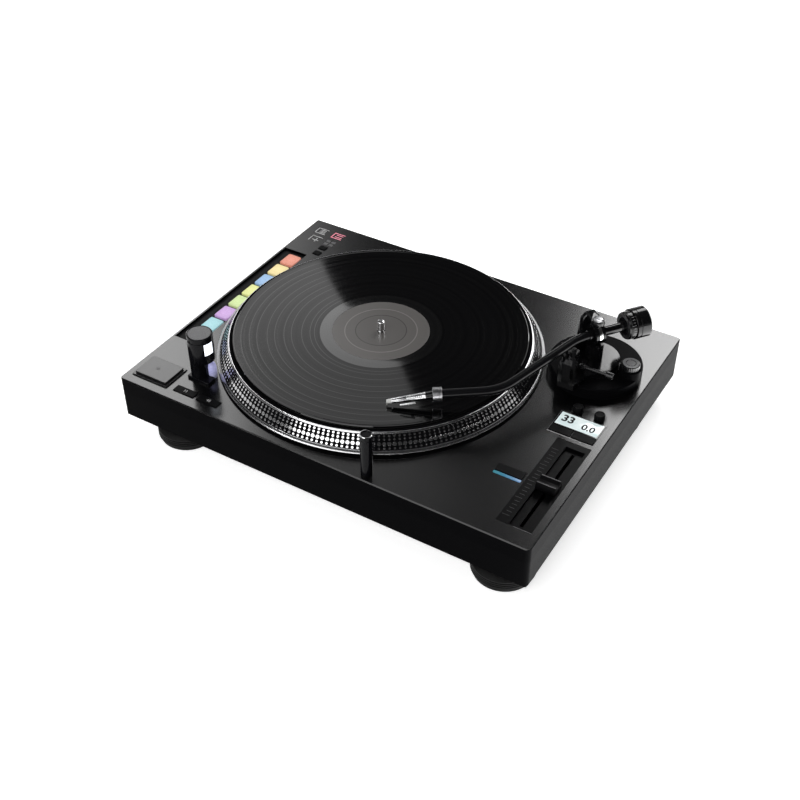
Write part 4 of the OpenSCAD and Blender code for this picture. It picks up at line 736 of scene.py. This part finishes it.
paper = Finish("label_paper", Specular_IOR_Level=0.6)
radius = paper.use(turning_marks, Centre=AXIS, Lines=300.0)["Radius"]
ramp = paper.add("ValToRGB", paper.spread(radius, 0.0, 1.0, 0.0, LABEL_R * MM))
fields = ramp.color_ramp
fields.interpolation = "CONSTANT"
while len(fields.elements) < len(LABEL_FIELDS):
    fields.elements.new(0.5)
for element, (position, level) in zip(fields.elements, LABEL_FIELDS):
    element.position = position
    element.color = (level * 1.06, level, level * 0.96, 1)
fibre = paper.grain(1300.0)
printed = paper.mix(paper.spread(fibre, 0.0, 0.1), ramp.outputs[0], grey(0.08))
paper.surface(fibre, printed, (0.18, 0.26), 0.01)
label = turned([(HOLE_R, sunk + 0.001), (LABEL_R - 0.1, sunk + 0.001), (LABEL_R - 0.1, RECORD_TOP - 0.04),
                (HOLE_R, RECORD_TOP - 0.04)], AXIS, 128, closed=True)
piece(label, "record_label", "record", paper.material, "vinyl_black")

# %% [markdown]
# ## Lit pads
# The pads are milky silicone caps over coloured lamps. The glow is strongest in the middle of a
# cap and weaker at its rounded rim, so the emission follows the distance from the cap's middle.

# %% Pads
PAD_GLOW = ((160, 180, 225), (165, 220, 228), (208, 165, 228), (212, 235, 158),
            (235, 240, 150), (150, 190, 232), (250, 230, 160), (235, 145, 118))


def toned(colour, share, lift=0.0):
    """A share of a colour, with some white added."""
    return tuple(share * c + lift for c in colour[:3]) + (1,)


for number, chart in enumerate(PAD_GLOW, 1):
    node = f"pad_{number}"
    colour = paint(*chart)
    deep = toned(colour, 0.55)
    silicone = lit(f"{node}_silicone", 0.5, 700.0, (deep, toned(colour, 0.7)),
                   (colour, toned(colour, 0.7, 0.3)), (0.35, 0.5),
                   (top_of(node), 3, 12, 0.55, deep))
    piece(rounded_block(*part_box(node), 2.2, 0.9), f"{node}_cap", node, silicone, f"pad_colour_{number}", node,
          flat_faces=True)

# %% [markdown]
# ## Buttons
# The start/stop button is a broad plate with a step round it, and the others are small flat keys.
# Each is a block with rounded corners; the speed keys carry plain numerals, as any dial would.

# %% Buttons
KEYS = ("speed_33_button", "speed_45_button", "reset_button", "display_button_left", "display_button_right",
        "mode_button_front", "mode_button_back")
LEDGE_RISE, LEDGE_W = 1.4, 2.2

start_grey = plastic("start_grey", greys(0.012, 0.018, 0.001), (0.3, 0.4), 1300.0, 0.01, 0.006, 0.2,
                     Coat_Weight=0.5, Coat_Roughness=0.14)
low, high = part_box("start_stop_button")
inset = mm(LEDGE_W, LEDGE_W, 0)
start_plate = join(rounded_block(low, at_height(high, (DECK + LEDGE_RISE) * MM), 1.6, 0.5),
                   rounded_block(at_height(low + inset, DECK * MM), high - inset, 1.4, 0.6))
piece(start_plate, "start_stop_plate", "start_stop_button", start_grey, "button_grey", "start_stop_button",
      flat_faces=True)
for node in KEYS:
    piece(rounded_block(*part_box(node), 0.9, 0.35), f"{node}_key", node, button_black, "button_black", node,
          flat_faces=True)

# %% [markdown]
# ## Small knobs and pitch slider
# The two small knobs have fine flutes for the fingers. The slider's cap keeps its drawn form with
# two ridges and gets softer edges; the painted highlights along its ridges come later, with the scale.

# %% Knobs and slider
def fluted(shape, centre, radius, depth, flutes):
    """Press flutes into the side of a turned shape by pulling every other column of points in."""
    for vert in shape.verts:
        arm = at_height(vert.co, 0) - at_height(centre, 0)
        if arm.length > (radius - 0.6) * MM:
            phase = math.atan2(arm.y, arm.x) * flutes
            vert.co -= arm.normalized() * depth * MM * (0.5 - 0.5 * math.cos(phase))
    return shape


def turned_size(name):
    """Radius, lowest and highest level of an upright turned solid, in millimetres."""
    low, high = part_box(name)
    return (high.x - low.x) / 2 / MM, low.z / MM, high.z / MM


for node in ("start_knob", "brake_knob"):
    r, _, top = turned_size(node)
    base = DECK + 0.3
    knob = turned([(0, base), (r, base), (r, top - 0.5), (r - 0.5, top), (r - 1.4, top), (r - 1.8, top - 0.35),
                   (0, top - 0.35)], axis_of(node))
    piece(fluted(knob, middle(node), r, 0.35, 16), f"{node}_cap", node, button_black, "button_black", node)
piece(round_edges(copy_of("pitch_slider"), 0.5, 2), "pitch_slider_cap", "pitch_slider", button_black,
      "button_black", "pitch_slider")

# %% [markdown]
# ## Strobe tower and power switch
# The tower stands beside the platter: a foot plate, a round stem set back from the platter, and a
# drum. The cap on the drum is the power switch, a painted disc in a turned rim.

# %% Tower
TOWER = axis_of("power_switch")
TOWER_R, STEM_R, STEM_BACK, HEAD_LOW, HEAD_TOP = 13.0, 9.2, 3.6, DECK + 21, DECK + 46
PLATE_INSET, PLATE_W, PLATE_D, PLATE_T = 1.6, 27, 12, 3

tower_gloss = plastic("tower_gloss", greys(0.003, 0.006, 0.0015), (0.12, 0.2), 1500.0, 0.004, 0.004, 0.12)
plate_corner = at_height(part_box("strobe_tower")[0], DECK * MM) + mm(PLATE_INSET, 0, 0)
plate = rounded_block(plate_corner, plate_corner + mm(PLATE_W, PLATE_D, PLATE_T), 1.5, 0.6)
stem_foot = TOWER - (AXIS - TOWER).normalized() * STEM_BACK * MM
stem = turned([(0, DECK), (STEM_R, DECK), (STEM_R, HEAD_LOW + 1), (0, HEAD_LOW + 1)], stem_foot)
head = turned([(0, HEAD_LOW), (TOWER_R, HEAD_LOW), (TOWER_R, HEAD_TOP), (0, HEAD_TOP)], TOWER)
piece(join(plate, stem, round_edges(head, 0.7)), "tower_body", "plinth", tower_gloss, "tower_black",
      "strobe_tower")

switch_paint = plastic("switch_paint", greys(0.14, 0.24, 0.005), (0.35, 0.5), 900.0, 0.01, 0.0, 0.2)
r, base, top = TOWER_R, HEAD_TOP + 0.3, turned_size("power_switch")[2]
cap = turned([(0, base), (r - 0.4, base), (r, base + 0.4), (r, top - 0.8), (r - 0.8, top), (r - 1.3, top),
              (r - 1.6, top - 0.5), (0, top - 0.5)], TOWER, 128)
piece(cap, "power_switch_cap", "power_switch", tower_gloss, "switch_grey", "power_switch", flat_faces=True)
disc = turned([(0, top - 0.49), (r - 1.7, top - 0.49), (r - 1.7, top - 0.25), (r - 2.0, top - 0.1),
               (0, top - 0.1)], TOWER, 128)
piece(disc, "power_switch_disc", "power_switch", switch_paint, "switch_grey", flat_faces=True)

# %% [markdown]
# ## The tower's lamps
# The lit window follows the drum, so its section is spun through a part of a turn only. The strobe's
# lens at the foot shines on the rim's dots, and its light fades with the distance from the stem.

# %% Tower lamps
WINDOW_LOW, WINDOW_TOP, WINDOW_START, WINDOW_SWEEP = HEAD_LOW + 11, HEAD_LOW + 24.2, -35, 45
LENS_FOOT, LENS_BRIGHT = TOWER + mm(9.4, 2.4, DECK), TOWER + mm(6, 1, DECK + 12)

lamp_window = lit("lamp_window", 1.6, 500.0, ((0.75, 0.78, 0.85, 1), (0.85, 0.88, 0.95, 1)),
                  ((0.8, 0.88, 1.0, 1), (0.95, 0.97, 1.0, 1)), (0.25, 0.4))
band = bmesh.new()
inner, outer = TOWER_R - 0.5, TOWER_R + 0.05
pane = band.faces.new([band.verts.new((r * MM, 0, z * MM)) for r, z in (
    (inner, WINDOW_LOW), (outer, WINDOW_LOW), (outer, WINDOW_TOP), (inner, WINDOW_TOP))])
placed(band, turn(WINDOW_START, "Z"))
bmesh.ops.spin(band, geom=[pane], axis=(0, 0, 1), cent=(0, 0, 0), angle=math.radians(WINDOW_SWEEP), steps=12)
piece(placed(band, Matrix.Translation(TOWER)), "tower_window", "plinth", lamp_window, "tower_black")

lens_glow = lit("lens_glow", 0.65, 400.0, ((0.3, 0.3, 0.5, 1), (0.4, 0.4, 0.6, 1)),
                (paint(160, 160, 215), paint(190, 190, 232)), (0.2, 0.3),
                (LENS_BRIGHT, 4, 12, 1.0, paint(88, 90, 104)))
strobe_lens = turned([(0, 0), (4.0, 0), (4.2, 1), (4.2, 12), (3.8, 14.5), (3.0, 16.6), (1.6, 17.9), (0, 18.3)],
                     LENS_FOOT, 48)
piece(strobe_lens, "strobe_lens", "plinth", lens_glow, "tower_black", smooth=60)

# %% [markdown]
# ## Target light
# A slim lamp stands in front of the platter and lights the stylus; pressed, it sinks into the
# deck. It is a turned rod with a bright ring round its dished top.

# %% Target light
TARGET = axis_of("target_light")
r, base, top = turned_size("target_light")
rod = turned([(0, base), (r, base), (r, top - 6), (r - 0.35, top - 5.6), (r - 0.35, top - 4.8), (r, top - 4.4),
              (r, top - 0.6), (r - 0.6, top), (r - 1.6, top), (r - 2.2, top - 0.8), (0, top - 0.8)], TARGET, 64)
piece(rod, "target_light_rod", "target_light", tower_gloss, "tower_black", "target_light")
ring = turned([(r - 0.7, top - 0.5), (r + 0.02, top - 0.6), (r - 0.3, top - 0.05), (r - 0.9, top),
               (r - 1.5, top - 0.05)], TARGET, 64, closed=True)
piece(ring, "target_light_ring", "target_light", chrome, "tower_black")

# %% [markdown]
# ## Feet
# Four rubber feet screw into the shell, each with a tread, ridges for the fingers and a neck.

# %% Feet
FOOT_R, TREAD_R, FOOT_H, FOOT_SCREW_R, FOOT_RIDGES = 31, 29, 19.7, 5, (7.6, 10.0, 12.4)

foot_rubber = plastic("foot_rubber", greys(0.004, 0.009), (0.5, 0.65), 900.0, 0.06, 0.004, 0.15)
for node in ("foot_front_left", "foot_front_right", "foot_back_left", "foot_back_right"):
    top = turned_size(node)[2]
    r, profile = FOOT_R, [(0, 0), (TREAD_R - 1, 0), (TREAD_R, 1), (TREAD_R, 5), (FOOT_R, 6)]
    for ridge in FOOT_RIDGES:
        profile += [(r, ridge), (r - 0.8, ridge + 0.4), (r - 0.8, ridge + 1.0), (r, ridge + 1.4)]
    profile += [(r, 15), (r - 3, 18), (r - 9.3, FOOT_H), (FOOT_SCREW_R, FOOT_H), (FOOT_SCREW_R, top), (0, top)]
    piece(turned(profile, axis_of(node)), f"{node}_rubber", node, foot_rubber, "foot_rubber", node)

# %% [markdown]
# ## The arm's frames
# The counterweight, its dial, the collar and the slim cartridge all turn about the arm's axes.
# A frame at the pivot, turned to the arm's direction and tipped to its pitch, carries these to
# their places, so each can be drawn on a straight axis first.

# %% Arm frames
PIVOT_Z = 119
PIVOT = at_height(middle("pivot_screw"), PIVOT_Z * MM)
ARM_TURN, ARM_PITCH, STUB_PITCH, TUBE_BEND, NOSE_TILT = 232.4, 4.0, 1.5, 20.4, 6.446


def along_arm(pitch):
    """The frame in which a shape turned about z lies along the arm, z pointing to the nose."""
    return Matrix.Translation(PIVOT) @ turn(ARM_TURN, "Z") @ turn(pitch, "Y") @ turn(90, "Y")


stub_frame = along_arm(STUB_PITCH)
tube_end = (Matrix.Translation(middle("locking_collar")) @ turn(ARM_TURN, "Z") @ turn(ARM_PITCH, "Y")
            @ turn(-TUBE_BEND, "Z"))
collar_frame = tube_end @ turn(90, "Y")
lift_frame = tube_end @ turn(NOSE_TILT, "Y")
nose_frame = lift_frame @ turn(90, "Y")
print("arm pivot at", [round(v / MM, 1) for v in PIVOT])

# %% [markdown]
# ## Counterweight, dial and collar
# The weight and the force dial run on the rear stub, and the collar clamps the cartridge at the other
# end. Shallow grooves part the weight from its grip, and the dial carries printed strokes, longer at
# every fifth step.

# %% Counterweight, dial and collar
WEIGHT_R, WEIGHT_BACK, WEIGHT_L, STUB_BORE = 15.6, -54.8, 16.5, 4.9
DIAL_R, DIAL_BACK, DIAL_L = 14.2, -38.0, 7.5
DIAL_STROKES, STROKE_START, STROKE_L, LONG_STROKE_L = 30, 0.8, 2.6, 4.2
COLLAR_R, COLLAR_BORE, COLLAR_END = 6.8, 4.54, 4.5

weight_black = plastic("weight_black", greys(0.004, 0.008, 0.0007), (0.1, 0.18), 1600.0, 0.004, 0.004, 0.25)
r, end = WEIGHT_R, WEIGHT_L
weight = turned([(STUB_BORE, 1.2), (8, 1.2), (8.6, 0), (r - 1.5, 0), (r, 1.5), (r, end - 5),
                 (r - 0.5, end - 4.6), (r - 0.5, end - 3.6), (r, end - 3.2), (r, end - 0.4),
                 (r - 0.4, end), (STUB_BORE, end)], mm(0, 0, WEIGHT_BACK), closed=True)
piece(placed(weight, stub_frame), "counterweight_body", "counterweight", weight_black, "weight_black",
      "counterweight")

r, end, dial_foot = DIAL_R, DIAL_L, mm(0, 0, DIAL_BACK)
dial = turned([(STUB_BORE, 0), (r - 0.3, 0), (r, 0.3), (r, end - 2.6), (r - 0.4, end - 2.2),
               (r - 0.4, end - 1.8), (r, end - 1.4), (r - 0.8, end), (STUB_BORE, end)], dial_foot, closed=True)
piece(placed(dial, stub_frame), "force_dial_body", "force_dial", weight_black, "dial_black", "force_dial")
dial_ring = turned([(r - 5, end - 0.02), (r - 0.9, end - 0.02), (r - 0.9, end + 0.06), (r - 5, end + 0.06)],
                   dial_foot, closed=True)
piece(placed(dial_ring, stub_frame), "force_dial_ring", "force_dial", satin_steel, "dial_black")
dial_marks = []
for step in range(DIAL_STROKES):
    reach = STROKE_START + (STROKE_L if step % 5 else LONG_STROKE_L)
    stroke = block(dial_foot + mm(r - 0.05, -0.16, STROKE_START), dial_foot + mm(r + 0.05, 0.16, reach))
    dial_marks.append(placed(stroke, turn(step * 360 / DIAL_STROKES, "Z")))
dial_print = plastic("dial_print", greys(0.4, 0.55), **INK)
piece(placed(join(*dial_marks), stub_frame), "force_dial_marks", "force_dial", dial_print, "dial_black")

r, end = COLLAR_R, COLLAR_END
collar = turned([(COLLAR_BORE, -end), (r - 0.5, -end), (r, 0.5 - end), (r, -2.4), (r - 0.4, -2),
                 (r - 0.4, -1.6), (r, -1.2), (r, end - 0.5), (r - 0.5, end), (COLLAR_BORE, end)],
                steps=64, closed=True)
piece(placed(collar, collar_frame), "locking_collar_ring", "locking_collar", satin_steel, "screw_silver",
      "locking_collar")

# %% [markdown]
# ## Cartridge
# The cartridge is a slim cone. A plane along it parts the ribbed silver upper shell from the black
# belly, and a finger lift stands out at its side on a short stalk.

# %% Cartridge
NOSE_START, NOSE_END, NECK_R, NOSE_R, NECK_END = 5.0, 44.0, 4.2, 2.4, 11.0
RIBS, RIB_STEP, RIB_DEPTH = 9, 1.8, 0.14


def nose_radius(along):
    """Radius of the cartridge's cone at a distance from the collar's middle."""
    return NECK_R + (NOSE_R - NECK_R) * max(0.0, along - NOSE_START) / (NOSE_END - NOSE_START)


def half(shape, side):
    """The part of a turned shape above (-1) or below (1) the cartridge's parting line, closed again."""
    bmesh.ops.bisect_plane(shape, geom=shape.verts[:] + shape.edges[:] + shape.faces[:], dist=0.0005 * MM,
                           plane_co=mm(-0.4, 0, 0), plane_no=(side, 0, 0), clear_inner=True)
    bmesh.ops.holes_fill(shape, edges=[e for e in shape.edges if e.is_boundary], sides=0)
    return shape


cartridge_silver = metal("cartridge_silver", greys(0.5, 0.68, 0.01), (0.2, 0.32), (900, 900, 900))
shoulder_at = (nose_radius(NECK_END), NECK_END)
profile = [(0, NECK_END), shoulder_at]
for rib in range(RIBS):
    along = NECK_END + 3 + rib * RIB_STEP
    valley = nose_radius(along) - RIB_DEPTH
    profile += [(nose_radius(along), along), (valley, along + 0.3), (valley, along + 0.8),
                (nose_radius(along + 1.1), along + 1.1)]
profile += [(NOSE_R + 0.3, NOSE_END - 6), (NOSE_R, NOSE_END), (0, NOSE_END)]
piece(placed(half(turned(profile, steps=48), -1), nose_frame), "cartridge_shell", "arm", cartridge_silver,
      "cartridge_silver", "cartridge")
neck = turned([(0, 0), (NECK_R, 0), (NECK_R, NOSE_START), shoulder_at, (0, NECK_END)], steps=48)
belly = half(turned([(0, NECK_END), shoulder_at, (NOSE_R, NOSE_END - 1), (0, NOSE_END - 1)], steps=48), 1)
piece(placed(join(neck, belly), nose_frame), "cartridge_belly", "arm", arm_gloss, "cartridge_silver")
stalk = rounded_block(mm(22, 1, -0.6), mm(25, 7.4, 0.4), 0.4, 0.3)
piece(placed(stalk, lift_frame), "finger_lift_stalk", "arm", arm_gloss, "cartridge_silver")
strip = rounded_block(mm(21, 7, -0.6), mm(36, 8.6, 0.6), 0.6, 0.4)
piece(placed(strip, lift_frame), "finger_lift", "arm", cartridge_silver, "cartridge_silver")

# %% [markdown]
# ## Gimbal, pivot screw, anti-skate dial and bridge
# A chrome band runs round the gimbal's ring, and the pivot screw has a bright slotted head. The
# anti-skate dial is a grip ring with a pale face and a turned groove. The bridge is a cast fin with
# a beam to the pivot: a merged copy with rounded edges gives it the highlights of a casting.

# %% Gimbal, pivot screw, anti-skate dial and bridge
YOKE_R = 10.8
inner, outer = YOKE_R - 0.1, YOKE_R + 0.22
yoke_band = turned([(inner, -1.6), (YOKE_R + 0.1, -1.6), (outer, -1.3), (outer, 1.3), (YOKE_R + 0.1, 1.6),
                    (inner, 1.6)], closed=True)
piece(placed(yoke_band, along_arm(0)), "gimbal_band", "gimbal", chrome, "carriage_black")
piece(round_edges(copy_of("pivot_screw"), 0.3, 2, 50), "pivot_screw_head", "arm_carriage", satin_steel,
      "screw_silver", "pivot_screw")

r, _, top = turned_size("antiskate_dial")
skate_centre = axis_of("antiskate_dial")
skate_grey = plastic("skate_grey", greys(0.26, 0.34, 0.005), (0.3, 0.42), 900.0, 0.004, 0.0)
skate = turned([(0, top - 6), (r, top - 6), (r, top - 0.5), (r - 0.5, top - 0.05), (0, top - 0.05)],
               skate_centre)
piece(fluted(skate, skate_centre, r, 0.3, 32), "antiskate_cap", "antiskate_dial", arm_satin, "dial_grey",
      "antiskate_dial")
face = turned([(0, top - 0.06), (r - 1.1, top - 0.06), (r - 1.1, top - 0.02), (5.6, top), (5.3, top - 0.05),
               (4.5, top - 0.05), (4.2, top), (0, top)], skate_centre)
piece(face, "antiskate_face", "antiskate_dial", skate_grey, "dial_grey", smooth=10)
piece(round_edges(copy_of("arm_bridge"), 0.7, 2), "arm_bridge_casting", "arm_carriage", arm_gloss,
      "carriage_black", "arm_bridge")

# %% [markdown]
# ## Frames and scale of the right-hand controls
# A thin border runs round the display and its keys. Along their front and along the fader's front
# lie bright lines that are painted highlights, where those edges would catch the light. The scale
# beside the fader is printed: thin bars that stand a hair proud of the plate, long ones at every
# fifth step. Two more painted highlights lie along the slider's ridges.

# %% Borders and scale
DISPLAY_LEFT, DISPLAY_RIGHT, DISPLAY_FRONT, DISPLAY_BACK, BORDER_W = 172.3, 219.7, -26.7, 6.7, 0.4
SCALE_TICKS, SCALE_START, SCALE_STEP, TICK_LEFT, LONG_TICK_LEFT, TICK_RIGHT = 21, -148, 5, 189.5, 187.5, 194.5
FADER_LEFT, FADER_RIGHT, FADER_FRONT, RIDGE_OFFSET = 203, 221, -158, 5.25


def bar(x0, y0, x1, y1, level=DECK, rise=0.06):
    """A thin bar on a level, all in millimetres, for printed marks and painted highlights."""
    return block(mm(x0, y0, level - 0.02), mm(x1, y1, level + rise))


def border(x0, y0, x1, y1, width):
    """Four bars round a rectangle on the deck."""
    return join(bar(x0, y0, x1, y0 + width), bar(x0, y1 - width, x1, y1),
                bar(x0, y0 + width, x0 + width, y1 - width), bar(x1 - width, y0 + width, x1, y1 - width))


piece(border(DISPLAY_LEFT, DISPLAY_FRONT, DISPLAY_RIGHT, DISPLAY_BACK, BORDER_W), "display_border", "plinth",
      print_and_highlight_grey, "display_black")
# Painted highlight: a white bar along the display's front edge, where the edge would catch the light.
piece(bar(DISPLAY_LEFT, DISPLAY_FRONT - 0.6, DISPLAY_RIGHT, DISPLAY_FRONT), "display_front_highlight", "plinth",
      print_and_highlight_white, "display_black")
# Painted highlight: a grey bar along the fader channel's front edge, where the edge would catch the light.
piece(bar(FADER_LEFT, FADER_FRONT, FADER_RIGHT, FADER_FRONT + 0.5), "fader_front_highlight", "plinth",
      print_and_highlight_grey, "tray_black")
ticks = []
for step in range(SCALE_TICKS):
    y = SCALE_START + SCALE_STEP * step
    ticks.append(bar(TICK_LEFT if step % 5 else LONG_TICK_LEFT, y - 0.2, TICK_RIGHT, y + 0.2))
piece(join(*ticks), "pitch_scale", "plinth", print_dim, "tray_black")
low, high = (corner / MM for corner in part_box("pitch_slider"))
ridges = [(low.y + high.y) / 2 + side * RIDGE_OFFSET for side in (-1, 1)]
# Painted highlights: two grey bars along the slider's ridges, where they would catch the light.
ridge_highlights = [bar(low.x + 0.6, y - 0.5, high.x - 0.6, y + 0.5, high.z, 0.04) for y in ridges]
piece(join(*ridge_highlights), "slider_ridge_highlights", "pitch_slider", print_and_highlight_grey, "button_black")

# %% [markdown]
# ## Display and light bar
# The display is lit from behind, so it is the one bright spot among the black controls: a pale
# screen under the window's edge, with dark numerals for the speed and the pitch. A strip of light
# guide lies in front of the reset key; its colour runs from teal to blue along the x axis.

# %% Display and light bar
GUIDE_LOW, GUIDE_HIGH = mm(155.7, -106, DECK - 0.02), mm(183.7, -102.6, DECK + 0.3)

screen_glow = lit("screen_glow", 0.75, 60.0, ((0.3, 0.34, 0.34, 1), (0.4, 0.44, 0.44, 1)),
                  (paint(205, 222, 222), paint(240, 246, 246)), (0.08, 0.14))
low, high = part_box("display_window")
screen_top = high.z + 0.05 * MM
edge = mm(1.2, 1.2, 0)
screen = rounded_block(at_height(low + edge, high.z - 0.02 * MM), at_height(high - edge, screen_top), 0.8, 0.02)
piece(screen, "display_screen", "plinth", screen_glow, "display_black")

strip_light = Finish("light_guide", Emission_Strength=0.38)
share = strip_light.rise(strip_light.part(strip_light.here(), "X"), 156, 28)
strip_light.surface(strip_light.grain(500.0),
                    strip_light.mix(share, (0.02, 0.16, 0.2, 1), (0.05, 0.16, 0.32, 1)), (0.2, 0.35))
strip_light.set("Emission Color", strip_light.mix(share, paint(50, 135, 150), paint(95, 140, 200)))
piece(rounded_block(GUIDE_LOW, GUIDE_HIGH, 0.8, 0.15), "light_bar", "plinth", strip_light.material,
      "display_black")

# %% [markdown]
# ## Mode symbols
# Four plain symbols beside the mode keys show what the pads do; the lit one glows red. They are
# strokes of printed bars round a centre.

# %% Symbols
def strokes(centre, *lines):
    """Printed strokes round a centre; each is a bar between two corners in millimetres."""
    x, y = centre
    return [bar(x + a, y + b, x + c, y + d) for a, b, c, d in lines]


OPEN = ((-7, -5.5, 7, -4.5), (-7, 4.5, 7, 5.5), (-7, -5.5, -6, 5.5))
grid_symbol = strokes((-209.5, 157), *OPEN, (-2, -3, 5, -2), (-2, -0.5, 5, 0.5), (-2, 2, 5, 3))
loop_symbol = strokes((-207, 139.5), *OPEN[1:], (-3, -2.5, 5, -1.5), (1, -5.5, 2, 2))
cell_symbol = strokes((-187.5, 140), (-6, -5, -1, -1), (1, -5, 6, -1), (-6, 1, -1, 5), (1, 1, 6, 5))
lit_symbol = strokes((-187, 157), *OPEN, (-3, -2.5, 6, -1.5), (-3, 1.5, 6, 2.5))
lit_print = lit("lit_print", 0.8, 900.0, ((0.5, 0.1, 0.16, 1), (0.6, 0.2, 0.25, 1)),
                (paint(225, 110, 135), paint(240, 170, 185)), (0.4, 0.5))
piece(join(*grid_symbol, *loop_symbol), "mode_symbols", "plinth", print_and_highlight_white, "deck_grey")
piece(join(*cell_symbol), "mode_cells", "plinth", print_and_highlight_grey, "deck_grey")
piece(join(*lit_symbol), "mode_symbol_lit", "plinth", lit_print, "deck_grey")

# %% [markdown]
# ## Numerals
# The speed keys carry 33 and 45 and the display a reading, which a text object gives; it is made a
# mesh first, so that it can be placed like any other piece. Two short strokes mark the start button.

# %% Numerals
def numerals(text, height, spot, weight=0.0):
    """Numerals as a mesh that lies level, centred on a spot, with strokes made bolder by a weight."""
    curve = bpy.data.curves.new("numerals", "FONT")
    curve.body, curve.size, curve.extrude, curve.offset = text, height * MM, 0.03 * MM, weight * MM
    curve.align_x, curve.align_y = "CENTER", "CENTER"
    holder = bpy.data.objects.new("numerals", curve)
    scene.collection.objects.link(holder)
    mesh = bpy.data.meshes.new_from_object(holder.evaluated_get(bpy.context.evaluated_depsgraph_get()))
    bpy.data.objects.remove(holder)
    shape = bmesh.new()
    shape.from_mesh(mesh)
    bpy.data.meshes.remove(mesh)
    return placed(shape, Matrix.Translation(spot))


for node, speed in (("speed_33_button", "33"), ("speed_45_button", "45")):
    piece(numerals(speed, 4.6, top_of(node, 0.02)), f"{node}_numerals", node, print_and_highlight_white, "button_black")
spot = at_height(middle("display_window"), screen_top + 0.02 * MM)
readings = join(numerals("33", 13, spot + mm(-12, 1, 0), 0.4), numerals("0.0", 11, spot + mm(10, -2, 0), 0.3))
piece(readings, "display_numerals", "plinth", tray_black, "display_black")
spot = top_of("start_stop_button")
marks = [block(spot + mm(x, -1.6, -0.02), spot + mm(x + 1.1, 1.6, 0.04)) for x in (-3.4, -1.4)]
piece(join(*marks), "start_stop_mark", "start_stop_button", print_and_highlight_grey, "button_grey")

# %% [markdown]
# ## Rear sockets
# The phono jacks have gilt sleeves and a coloured ring each, white for left and red for right. The
# mains inlet has three metal blades, laid over the drawn ones.

# %% Rear sockets
PANEL_FACE, SOCKET_MID, JACK_R, INLET_X = 163.0, 38.5, 4.15, -39
BLADE_LOW, BLADE_HIGH = mm(-1.05, 3, -0.05), mm(1.05, 11.05, 4.05)  # from the panel, round a blade's middle

gilt = metal("gilt", ((0.7, 0.5, 0.18, 1), (0.85, 0.65, 0.3, 1)), (0.16, 0.26), (900, 40, 900))
blade_metal = metal("blade_metal", greys(0.55, 0.7), (0.2, 0.3), (900, 40, 900))
ring_red = plastic("ring_red", ((0.3, 0.012, 0.01, 1), (0.4, 0.02, 0.018, 1)), (0.35, 0.45))
ring_white = plastic("ring_white", greys(0.6, 0.7, -0.02), (0.35, 0.45))
sleeves = []
for x, finish, name in ((-143.0, ring_white, "phono_ring_left"), (-121.0, ring_red, "phono_ring_right")):
    toward_back = Matrix.Translation(mm(x, PANEL_FACE, SOCKET_MID)) @ turn(-90, "X")
    sleeve = turned([(1.7, 2.1), (JACK_R + 0.06, 2.1), (JACK_R + 0.06, 8.6), (JACK_R - 0.3, 9.02), (2.6, 9.02),
                     (2.6, 7.4), (1.7, 7.4)], steps=48, closed=True)
    sleeves.append(placed(sleeve, toward_back))
    collar_ring = turned([(JACK_R + 0.08, 1.52), (JACK_R + 1.9, 1.52), (JACK_R + 1.9, 1.9), (JACK_R + 1.6, 2.1),
                          (JACK_R + 0.08, 2.1)], steps=48, closed=True)
    piece(placed(collar_ring, toward_back), name, "plinth", finish, "socket_black")
piece(join(*sleeves), "phono_sleeves", "plinth", gilt, "socket_black")
blades = []
for x, z in ((-7, -5), (7, -5), (0, -1)):
    foot = mm(INLET_X + x, PANEL_FACE, SOCKET_MID + z)
    blades.append(round_edges(block(foot + BLADE_LOW, foot + BLADE_HIGH), 0.3, 2))
piece(join(*blades), "inlet_blades", "plinth", blade_metal, "socket_black")
